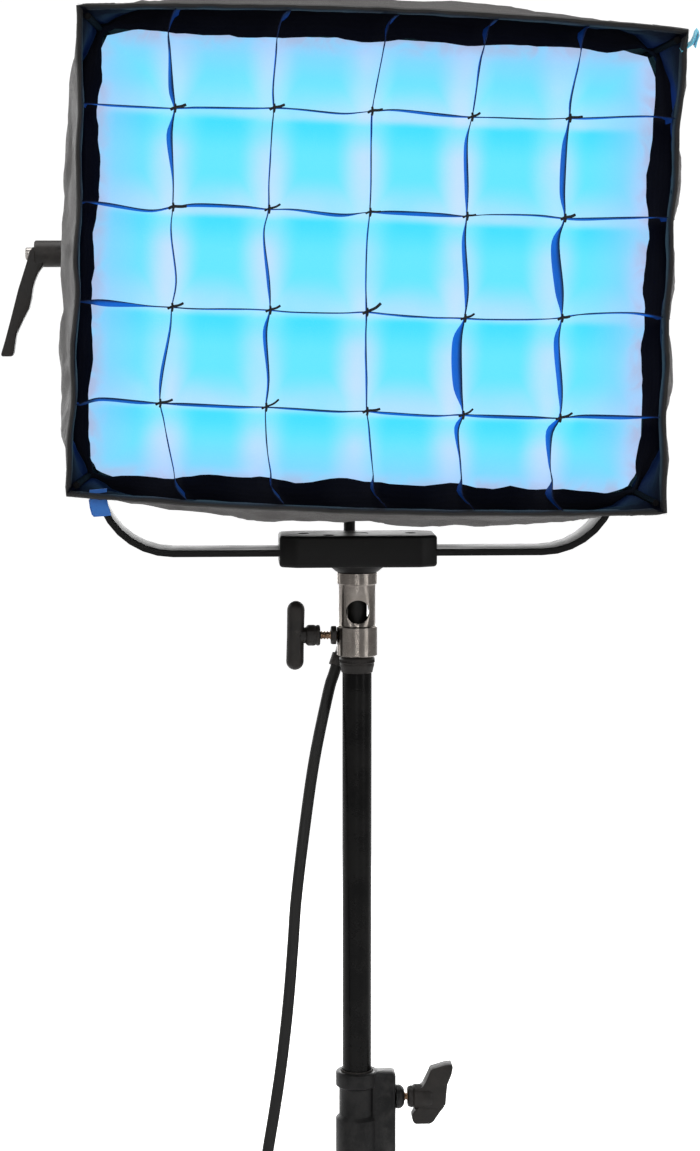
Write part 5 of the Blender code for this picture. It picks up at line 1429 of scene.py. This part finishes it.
def riserPieces():
    low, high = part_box("riser_tube")
    radius, inner = riser["radius"], riser["radius"] - riser["wall"]
    tube = turnedPiece("riserTube", [(inner, high.z), (radius - 0.0004, high.z), (radius, high.z - 0.0004),
                                     (radius, low.z + 0.0006), (radius - 0.0006, low.z), (inner, low.z)],
                       onAxis(0), steps=72, closed=True)
    finishPiece(tube, "riser", finishes["glossPaint"], ["riser_tube"])
    low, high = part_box("riser_cap")
    skirt = radius + 0.0003
    profile = [(0.0063, high.z), (0.0128, high.z), (0.0136, high.z - 0.0004), (0.0142, high.z - 0.0012),
               (0.0144, high.z - 0.0022), (0.0144, high.z - 0.0046), (0.0137, high.z - 0.0054),
               (0.0140, high.z - 0.0060), (0.0139, high.z - 0.0072), (0.0130, high.z - 0.0105),
               (skirt + 0.0006, low.z + 0.0004), (skirt + 0.0001, low.z), (skirt, low.z),
               (skirt, high.z - 0.0087), (0.0063, high.z - 0.0087)]
    cap = turnedPiece("riserCap", profile, onAxis(0), steps=2 * riser["capFlutes"], closed=True)
    pick(cap)
    for face in cap.data.polygons:
        middle = face.center
        turn = math.atan2(middle.y - standY, middle.x)
        band = high.z - 0.0046 < middle.z < high.z - 0.0022
        face.select = band and round(turn / (2 * math.pi) * 2 * riser["capFlutes"] - 0.5) % 2 == 0
    for edge in cap.data.edges:
        edge.select = False
    for vertex in cap.data.vertices:
        vertex.select = False
    bpy.ops.object.mode_set(mode="EDIT")
    bpy.ops.mesh.select_mode(type="FACE")
    bpy.ops.mesh.inset(thickness=0.0003, use_individual=True)
    bpy.ops.mesh.extrude_region_shrink_fatten(TRANSFORM_OT_shrink_fatten={"value": -riser["capTeethDepth"]})
    bpy.ops.mesh.select_mode(type="VERT")
    leaveEdit()
    finishPiece(cap, "riser", finishes["nylon"], ["riser_cap"])


riserPieces()

receiver = {"ring": 0.0163, "body": 0.0149, "bore": 0.0083, "hole": 0.0095, "holeUp": 0.0371,
            "lockUp": 0.0169,
            "height": 0.0684, "ringTop": 0.0586, "ringLow": 0.0246}


def receiverPiece():
    top, base = receiver["height"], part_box("receiver")[0].z
    ring, body, bore = receiver["ring"], receiver["body"], receiver["bore"]
    high, low = receiver["ringTop"], receiver["ringLow"]
    profile = [(0.0053, top), (ring - 0.0006, top), (ring, top - 0.0006), (ring, high + 0.0006),
               (ring - 0.0005, high), (body + 0.0001, high - 0.0002), (body, high - 0.0008),
               (body, low + 0.0009),
               (body + 0.0001, low + 0.0003), (ring - 0.0005, low), (ring, low - 0.0006),
               (ring, 0.0012), (ring - 0.0010, 0.0002), (ring - 0.0014, 0), (bore + 0.0006, 0),
               (bore, 0.0008),
               (bore, 0.0610), (0.0053, 0.0610)]
    piece = turnedPiece("receiverSocket", profile, onAxis(base), steps=96, closed=True)
    hole = turnedPiece("holeCutter",
                       [(0, 0.05), (receiver["hole"], 0.05), (receiver["hole"], -0.05), (0, -0.05)],
                       onAxis(base + receiver["holeUp"]), "y", 48)
    cutWith(piece, hole)
    hole = turnedPiece("lockCutter", [(0, -0.004), (0.0036, -0.004), (0.0036, -0.05), (0, -0.05)],
                       onAxis(base + receiver["lockUp"]), "x", 24)
    closeSurface(hole)
    cutWith(piece, hole)
    edges = piece.modifiers.new("holeEdge", "BEVEL")
    edges.width = 0.00035
    edges.segments = 2
    edges.limit_method = "ANGLE"
    edges.angle_limit = math.radians(50)
    applyAll(piece)
    finishPiece(piece, "yoke", finishes["nickel"], ["receiver"], 30)
    plate = turnedPiece("receiverLiner", [(0, 0.0605), (0.0080, 0.0605), (0.0080, 0.0600), (0, 0.0600)],
                        onAxis(base), steps=32)
    finishPiece(plate, "yoke", finishes["nylon"])


receiverPiece()

clamp = {"length": 0.126, "depth": 0.055, "cornerX": 0.013, "cornerY": 0.007, "edge": 0.0026, "screwX": 0.043}


def clampBlock():
    low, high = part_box("block_lower")[0].z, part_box("block_upper")[1].z
    low += 0.0053
    halfX, halfY = clamp["length"] / 2, clamp["depth"] / 2
    cutX, cutY = clamp["cornerX"], clamp["cornerY"]
    corner = [(halfX, halfY - cutY), (halfX - cutX, halfY), (cutX - halfX, halfY), (-halfX, halfY - cutY)]
    corner += [(-x, -y) for x, y in corner]
    piece = cutPlate("clampBlock", [onAxis(low, x, y) for x, y in corner], (0, 0, high - low))
    softenEdges(piece, clamp["edge"], 4, 20)
    sinks = [(-clamp["screwX"], 0), (clamp["screwX"], 0), (-clamp["screwX"] * 0.55, -0.0165), (0.0, 0.0)]
    for x, y in sinks:
        wide = 0.0088 if x == 0.0 else 0.0045
        sink = turnedPiece("sinkCutter", [(0, high + 0.01), (wide, high + 0.01), (wide, high - 0.0058),
                                          (0, high - 0.0058)], onAxis(0, x, y), steps=32)
        cutWith(piece, sink)
    softenEdges(piece, 0.0003, 1, 60)
    finishPiece(piece, "yoke", finishes["anodised"], ["block_lower", "block_upper"], 30)
    profile = [(0, 0.0022), (0.0232, 0.0022), (0.0228, 0.0002), (0.0216, -0.0016), (0.0184, -0.0042),
               (0.0172, -0.0053), (0, -0.0053)]
    boss = turnedPiece("clampBoss", profile, onAxis(low), steps=64)
    finishPiece(boss, "yoke", finishes["anodised"])
    return sinks[:3], high


blockScrews, blockTop = clampBlock()


def screwHead(name, radius, rise):
    profile = [(0, rise), (radius - 0.0005, rise), (radius, rise - 0.0005), (radius, 0), (0, 0)]
    piece = turnedPiece(name, profile, (0, 0, 0), steps=24)
    recess = turnedPiece("recessCutter", [(0, rise + 0.01), (radius * 0.52, rise + 0.01),
                                          (radius * 0.52, rise * 0.25), (0, rise * 0.25)], (0, 0, 0), steps=6)
    cutWith(piece, recess)
    return piece


def screwSet(name, places, axis, radius, rise, body, finish):
    # one socket screw, copied to every place; axis is the way its head faces
    first = screwHead(name, radius, rise)
    turn = Vector(axis).to_track_quat("Z", "Y").to_matrix().to_4x4()
    copies = []
    for n, place in enumerate(places):
        copy = bpy.data.objects.new(f"{name}{n}", first.data.copy())
        bpy.context.scene.collection.objects.link(copy)
        copy.data.transform(Matrix.Translation(Vector(place)) @ turn @ Matrix.Rotation(0.7 * n, 4, "Z"))
        copies.append(copy)
    bpy.data.objects.remove(first)
    piece = joined(name, copies)
    return finishPiece(piece, body, finishes[finish], (), 30)


screwSet("blockScrews", [onAxis(blockTop - 0.0056, x, y) for x, y in blockScrews], (0, 0, 1), 0.0038,
         0.0032, "yoke",
         "threadBrass")


def threadedRod(name, start, end, radius, pitch, height, body, finish, replaced):
    # a rod along x from start to end, with its thread as close rings
    profile, count = [(0, end)], int((end - start) / pitch)
    profile.append((radius - 0.0004, end))
    for n in range(count):
        x = end - n * pitch
        profile += [(radius - 0.00075, x - 0.12 * pitch), (radius, x - 0.42 * pitch),
                    (radius, x - 0.58 * pitch),
                    (radius - 0.00075, x - 0.88 * pitch)]
    profile += [(radius - 0.0004, start), (0, start)]
    piece = turnedPiece(name, profile, onAxis(height), "x", 28)
    return finishPiece(piece, body, finishes[finish], replaced, 25)


lock = {"barHalf": 0.028, "barRadius": 0.0071, "barX": -0.0497, "lean": 1.2}


def lockKnob():
    z = panZ + receiver["lockUp"]
    threadedRod("lockScrew", -0.0375, -0.0083, 0.0034, 0.0024, z, "lock_knob", "threadBrass", ["lock_screw"])
    nut = turnedPiece("lockNut", [(0.0037, -0.0166), (0.0070, -0.0166), (0.0076, -0.0172), (0.0076, -0.0204),
                                  (0.0068, -0.0213), (0.0037, -0.0213)], onAxis(z), "x", 6, closed=True)
    softenEdges(nut, 0.0005, 2, 25)
    finishPiece(nut, "yoke", finishes["nylon"], ["lock_nut"])
    half, radius = lock["barHalf"], lock["barRadius"]
    side = [(0, half)]
    for n in range(1, 9):
        turn = math.radians(90 - n * 90 / 8)
        side.append((radius * math.cos(turn), half - radius + radius * math.sin(turn)))
    side += [(radius * 0.985, 0.010), (radius * 0.975, 0), (radius * 0.985, -0.010)]
    side += [(r, -h) for r, h in reversed(side[1:9])] + [(0, -half)]
    bar = turnedPiece("lockKnobBar", side, (0, 0, 0), steps=40)
    bar.rotation_euler = (0, math.radians(lock["lean"]), 0)
    bar.location = onAxis(z, lock["barX"])
    settle(bar)
    collar = [(0, -0.0460), (0.0064, -0.0460), (0.0066, -0.0415), (0.0082, -0.0402), (0.0086, -0.0390),
              (0.0086, -0.0345), (0.0080, -0.0338), (0.0080, -0.0328), (0.0086, -0.0320), (0.0084, -0.0306),
              (0.0074, -0.0298), (0, -0.0298)]
    hub = turnedPiece("lockKnobHub", collar, onAxis(z), "x", 12)
    softenEdges(hub, 0.0004, 2, 25)
    hole = turnedPiece("hubCutter", [(0, -0.020), (0.0036, -0.020), (0.0036, -0.0380), (0, -0.0380)],
                       onAxis(z), "x", 20)
    cutWith(hub, hole)
    finishPiece(hub, "lock_knob", finishes["nylon"])
    finishPiece(bar, "lock_knob", finishes["nylon"], ["lock_knob"])


lockKnob()

wing = {"ferrule": 0.0318, "hub": 0.0416, "depth": 0.015}


def collarKnob():
    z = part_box("collar_knob_screw")
    z = (z[0].z + z[1].z) / 2
    start, ferrule, hub = 0.0121, wing["ferrule"], wing["hub"]
    threadedRod("wingScrew", start, hub + 0.0098, 0.0034, 0.0022, z, "collar_knob", "threadBrass",
                ["collar_knob_screw"])
    profile = [(0.0030, ferrule), (0.0092, ferrule), (0.0098, ferrule + 0.0006), (0.0099, ferrule + 0.0030),
               (0.0094, ferrule + 0.0044), (0.0078, ferrule + 0.0062), (0.0060, ferrule + 0.0070),
               (0.0030, ferrule + 0.0070)]
    washer = turnedPiece("wingFerrule", profile, onAxis(z), "x", 40, closed=True)
    finishPiece(washer, "collar_knob", finishes["castGrey"])
    tip = hub + 0.0370
    upper = [(hub + 0.0050, -0.0050), (hub + 0.0070, 0.0060), (hub + 0.0125, 0.0100), (hub + 0.0160, 0.0170),
             (hub + 0.0190, 0.0240), (tip - 0.0060, 0.0275), (tip - 0.0010, 0.0280), (tip, 0.0262),
             (tip - 0.0010, 0.0200),
             (tip - 0.0046, 0.0110), (tip - 0.0054, 0.0020), (tip - 0.0060, -0.0060), (tip - 0.0120, -0.0085),
             (hub + 0.0140, -0.0085)]
    lower = [(tip - 0.0065, -0.0030), (tip - 0.0068, -0.0075), (tip - 0.0110, -0.0130),
             (tip - 0.0160, -0.0205),
             (tip - 0.0190, -0.0220), (hub + 0.0060, -0.0220), (hub + 0.0040, -0.0195),
             (hub + 0.0032, -0.0150),
             (hub + 0.0055, -0.0110), (hub + 0.0090, -0.0070), (hub + 0.0110, -0.0020)]
    near, far = -wing["depth"] / 2, wing["depth"] / 2
    blades = []
    for outline, back in ((upper, far), (lower, far - 0.0018)):
        blade = cutPlate("wingBlade",
                         [onAxis(z + up, x, near + 0.0009 * (outline is lower)) for x, up in outline],
                         (0, back - near, 0))
        softenEdges(blade, 0.0013, 3, 28)
        blades.append(blade)
    profile = [(0, hub), (0.0072, hub), (0.0084, hub + 0.0008), (0.0090, hub + 0.0030),
               (0.0088, hub + 0.0042),
               (0.0100, hub + 0.0054), (0.0102, hub + 0.0075), (0.0100, hub + 0.0170), (0.0090, hub + 0.0200),
               (0, hub + 0.0200)]
    neck = turnedPiece("wingHub", profile, onAxis(z), "x", 48)
    finishPiece(neck, "collar_knob", finishes["nylon"])
    blades = joined("wingBlades", blades)
    finishPiece(blades, "collar_knob", finishes["nylon"], ["collar_knob"], 30)


collarKnob()

lever = {"tip": 0.2550, "hub": 0.0105, "arm": 0.016}


def tiltLever():
    start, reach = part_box("yoke_bar")[1].x + 0.0003, lever["tip"]
    profile = [(0.0053, -reach), (lever["hub"] - 0.0010, -reach), (lever["hub"], -reach + 0.0010),
               (lever["hub"], -reach + 0.0230), (lever["hub"] - 0.0006, -reach + 0.0236),
               (lever["hub"] - 0.0006, -reach + 0.0250), (lever["hub"] + 0.0003, -reach + 0.0256),
               (lever["hub"] + 0.0003, -start - 0.0010), (lever["hub"] - 0.0008, -start), (0.0053, -start)]
    hub = turnedPiece("leverHub", profile, onAxis(tiltZ), "x", 56, closed=True)
    finishPiece(hub, "tilt_lever", finishes["nylon"])
    outline = [(-reach + 0.0060, 0.0050), (-reach - 0.0012, 0.0052), (-reach - 0.0034, 0.0020),
               (-reach - 0.0058, -0.0065), (-reach - 0.0092, -0.0170), (-reach - 0.0128, -0.0280),
               (-reach - 0.0186, -0.0500), (-reach - 0.0236, -0.0680), (-reach - 0.0270, -0.0790),
               (-reach - 0.0262, -0.0806), (-reach - 0.0186, -0.0806), (-reach - 0.0170, -0.0780),
               (-reach - 0.0146, -0.0633), (-reach - 0.0096, -0.0525), (-reach - 0.0044, -0.0428),
               (-reach - 0.0024, -0.0350), (-reach - 0.0014, -0.0280), (-reach + 0.0004, -0.0210),
               (-reach + 0.0030, -0.0150), (-reach + 0.0070, -0.0095)]
    arm = cutPlate("leverArm", [onAxis(tiltZ + z, x, -lever["arm"] / 2) for x, z in outline],
                   (0, lever["arm"], 0))
    softenEdges(arm, 0.0022, 4, 24)
    hole = turnedPiece("leverCutter", [(0, -0.3), (0.0053, -0.3), (0.0053, 0), (0, 0)], onAxis(tiltZ), "x",
                       32)
    closeSurface(hole)
    cutWith(arm, hole)
    finishPiece(arm, "tilt_lever", finishes["nylon"], ["tilt_lever"], 30)


tiltLever()
print("knobs and lever made")


def rubberFeet():
    for node, name in (("leg_back_right_foot", "footBackRight"), ("leg_back_left_foot", "footBackLeft"),
                       ("leg_front_foot", "footFront")):
        low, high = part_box(node)
        centre = (low + high) / 2
        bore = 0.0128
        profile = [(bore, 0.0300), (0.0146, 0.0300), (0.0154, 0.0292), (0.0156, 0.0262), (0.0150, 0.0256),
                   (0.0150, 0.0240), (0.0160, 0.0232), (0.0162, 0.0190), (0.0156, 0.0184), (0.0156, 0.0168),
                   (0.0164, 0.0160), (0.0165, 0.0070), (0.0160, 0.0064), (0.0160, 0.0052), (0.0165, 0.0046),
                   (0.0165, 0.0010), (0.0155, 0.0), (0.0110, 0.0), (0.0100, 0.0012), (0, 0.0012), (0, 0.0080),
                   (bore, 0.0080)]
        piece = turnedPiece(name, profile, (centre.x, centre.y, 0), steps=48, closed=True)
        body = frame["nodes"][node]["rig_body"]
        finishPiece(piece, body, finishes["rubber"], [node], 30)


rubberFeet()


def hubScrews():
    for n, (body, height, angle) in enumerate((("stand", 0.125, 30), ("leg_back_left", 0.1523, 150),
                                               ("leg_front", 0.1796, 270))):
        out = Vector((math.cos(math.radians(angle + 180)), math.sin(math.radians(angle + 180)), 0))
        place = Vector(onAxis(height)) + out * 0.0234
        screwSet(f"hubScrew{n}", [place], out, 0.0046, 0.0036, body, "nickelAcross")


hubScrews()

rear = {"coverY": 0.0433, "panelY": 0.0859, "caseY": 0.0836}
coverX, coverZ, panelX, panelUp = 0.171, 0.1375, 0.0705, 0.0355
halfWide = 0.180
middleZ = headMiddle.z
screwSet("coverScrews",
         [(x, standY + rear["coverY"], middleZ + z) for x in (-coverX, 0.0, coverX) for z in (-coverZ, coverZ)
                         if x or z > 0] + [(x, standY + rear["coverY"], middleZ) for x in (-coverX, coverX)],
         (0, 1, 0), 0.0036, 0.0022, "head", "nickelAcross")
for sign, name in ((-1, "sideScrewsLeft"), (1, "sideScrewsRight")):
    screwSet(name,
             [(sign * halfWide, standY + y, middleZ + z) for y in (-0.052, 0.030) for z in (-0.128, 0.128)],
             (sign, 0, 0), 0.0034, 0.0018, "head", "nickelAcross")
panelZ = (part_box("control_panel")[0].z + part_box("control_panel")[1].z) / 2
screwSet("panelScrews", [(0.030 + x, standY + rear["panelY"],
                          panelZ + z) for x in (-panelX, panelX) for z in (-panelUp, panelUp)],
         (0, 1, 0), 0.0026, 0.0014, "head", "nickelAcross")


def litDisplay():
    # generic level bars behind glass
    made, tree, shader = newMaterial("displayLit")
    place = addNode(tree, "TexCoord").outputs["Object"]
    split = addNode(tree, "SeparateXYZ", {"Vector": place})
    row = reckon(tree, "FRACT", reckon(tree, "MULTIPLY", split.outputs["Z"], 170.0))
    number = reckon(tree, "FLOOR", reckon(tree, "MULTIPLY", split.outputs["Z"], 170.0))
    reach = reckon(tree, "FRACT", reckon(tree, "MULTIPLY", number, 0.377))
    across = ramp(tree, split.outputs["X"], 0.027 - 0.054, 0.027, 0.0, 1.0, "LINEAR")
    bar = reckon(tree, "MULTIPLY",
                 reckon(tree, "LESS_THAN", across, reckon(tree, "MULTIPLY_ADD", reach, 0.6, 0.3)),
                 reckon(tree, "LESS_THAN", row, 0.45))
    bar = reckon(tree, "MULTIPLY", bar, reckon(tree, "GREATER_THAN", across, 0.08))
    grain = addNode(tree, "TexNoise", {"Vector": place, "Scale": 300.0}).outputs["Fac"]
    tree.links.new(blendColours(tree, bar, (0.006, 0.014, 0.030), (0.10, 0.55, 0.80)),
                   shader.inputs["Base Color"])
    tree.links.new(blendColours(tree, bar, (0.001, 0.004, 0.010), (0.10, 0.60, 0.90)),
                   shader.inputs["Emission Color"])
    tree.links.new(ramp(tree, grain, 0.2, 0.8, 0.06, 0.14), shader.inputs["Roughness"])
    shader.inputs["Emission Strength"].default_value = 0.5
    shader.inputs["Coat Weight"].default_value = 0.6
    return made


def controls():
    screen = weldedCopy("display", "displayScreen", 0.0)
    finishPiece(screen, "head", litDisplay(), ["display"])
    low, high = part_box("dial_knob")
    centre = (low + high) / 2
    depth = high.y - low.y
    profile = [(0, depth), (0.0070, depth), (0.0078, depth - 0.0004), (0.0082, depth - 0.0016),
               (0.0084, 0.0040),
               (0.0096, 0.0030), (0.0099, 0.0012), (0.0099, 0.0002), (0, 0.0002)]
    dial = turnedPiece("dialKnob", profile, (centre.x, low.y, centre.z), "y", 48)
    pick(dial)
    for vertex in dial.data.vertices:
        offset = vertex.co - Vector((centre.x, 0, centre.z))
        turn = math.atan2(offset.z, offset.x)
        if vertex.co.y > low.y + 0.0035 and Vector((offset.x, offset.z)).length > 0.0075:
            scale = 1 + 0.035 * math.cos(24 * turn)
            vertex.co.x = centre.x + offset.x * scale
            vertex.co.z = centre.z + offset.z * scale
    mark = roundedBlock("dialMark", (centre.x - 0.0005, high.y - 0.0004, centre.z + 0.0025),
                        (centre.x + 0.0005, high.y + 0.0002, centre.z + 0.0068), 0.0001, 1)
    finishPiece(mark, "dial", finishes["whitePlastic"])
    finishPiece(dial, "dial", finishes["nylon"], ["dial_knob"])
    low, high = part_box("power_switch")
    centre = (low + high) / 2
    tall = (high.z - low.z) / 2 - 0.0003
    outline = [(low.y + 0.0002, -tall), (high.y - 0.0016, -tall), (high.y - 0.0018, -0.0005),
               (high.y - 0.0002, tall - 0.0003),
               (high.y - 0.0004, tall), (low.y + 0.0002, tall)]
    rocker = cutPlate("rockerSwitch", [(low.x + 0.0003, y, centre.z + z) for y, z in outline],
                      (high.x - low.x - 0.0006, 0, 0))
    softenEdges(rocker, 0.0004, 2, 20)
    finishPiece(rocker, "switch", finishes["nylon"], ["power_switch"])


controls()


def dataSockets():
    # two round sockets with five holes each, and a small service socket under the cable inlet
    made = []
    y = standY + rear["caseY"]
    for x, z, wide in ((-0.0965, panelZ + 0.033, 0.0088), (-0.0665, panelZ + 0.033, 0.0088),
                       (-0.0965, panelZ - 0.034, 0.0050)):
        profile = [(wide * 0.70, 0.0), (wide, 0.0), (wide, 0.0018), (wide - 0.0006, 0.0024),
                   (wide * 0.78, 0.0024),
                   (wide * 0.74, 0.0016), (wide * 0.70, 0.0016)]
        made.append(turnedPiece("socketRim", profile, (x, y, z), "y", 40, closed=True))
        face = turnedPiece("socketFace",
                           [(0, 0.0010), (wide * 0.72, 0.0010), (wide * 0.72, 0.0001), (0, 0.0001)],
                           (x, y, z), "y", 40)
        for n in range(5):
            turn = math.radians(60 * n + 60)
            hole = turnedPiece("pinCutter",
                               [(0, 0.01), (wide * 0.09, 0.01), (wide * 0.09, 0.0003), (0, 0.0003)],
                               (x + wide * 0.42 * math.cos(turn), y, z + wide * 0.42 * math.sin(turn)), "y",
                               10)
            cutWith(face, hole)
        made.append(face)
    finishPiece(joined("dataSockets", made), "head", finishes["nylon"], (), 30)


dataSockets()


def inletPlug():
    low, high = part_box("inlet_plug")
    x, z = (low.x + high.x) / 2, (low.z + high.z) / 2
    y = standY + rear["caseY"]
    profile = [(0, -0.0100), (0.0104, -0.0100), (0.0104, 0.0004), (0.0122, 0.0004), (0.0130, 0.0012),
               (0.0130, 0.0090), (0.0124, 0.0098), (0.0124, 0.0116), (0.0130, 0.0124), (0.0130, 0.0200),
               (0.0124, 0.0208), (0.0124, 0.0226), (0.0130, 0.0234), (0.0130, 0.0370), (0.0118, 0.0410),
               (0.0104, 0.0450),
               (0.0076, 0.0462)]
    for n in range(4):
        start = 0.0466 + 0.0046 * n
        wide = 0.0075 - 0.0003 * n
        profile += [(wide, start), (wide, start + 0.0026), (wide - 0.0009, start + 0.0028),
                    (wide - 0.0009, start + 0.0044)]
    profile += [(0.0058, 0.0655), (0, 0.0660)]
    plug = turnedPiece("inletPlug", profile[::-1], (x, y, z), "y", 48)
    for n in range(10):
        turn = 2 * math.pi * n / 10
        place = Vector((x + 0.0131 * math.cos(turn), y + 0.0300, z + 0.0131 * math.sin(turn)))
        groove = turnedPiece("grooveCutter",
                             [(0, 0.0055), (0.0009, 0.0050), (0.0009, -0.0050), (0, -0.0055)], place, "y", 10)
        cutWith(plug, groove)
    finishPiece(plug, "head", finishes["nylon"], ["inlet_plug"], 30)


inletPlug()


def pivotNut():
    low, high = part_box("pivot_nut")
    profile = [(0.0053, high.x), (0.0086, high.x), (0.0100, high.x - 0.0010), (0.0100, low.x + 0.0014),
               (0.0094, low.x + 0.0008), (0.0098, low.x + 0.0006), (0.0098, low.x), (0.0053, low.x)]
    nut = turnedPiece("pivotNut", profile, onAxis(tiltZ), "x", 48, closed=True)
    for vertex in nut.data.vertices:
        offset = Vector((vertex.co.y - standY, vertex.co.z - tiltZ))
        if offset.length > 0.0085 and vertex.co.x > low.x + 0.0010:
            turn = math.atan2(offset.y, offset.x)
            flat = 0.0100 * math.cos(math.pi / 6) / math.cos((turn % (math.pi / 3)) - math.pi / 6)
            offset *= min(1.0, flat / offset.length)
            vertex.co.y, vertex.co.z = standY + offset.x, tiltZ + offset.y
    finishPiece(nut, "head", finishes["nickelAcross"], ["pivot_nut"], 30)


pivotNut()
print("head details made")
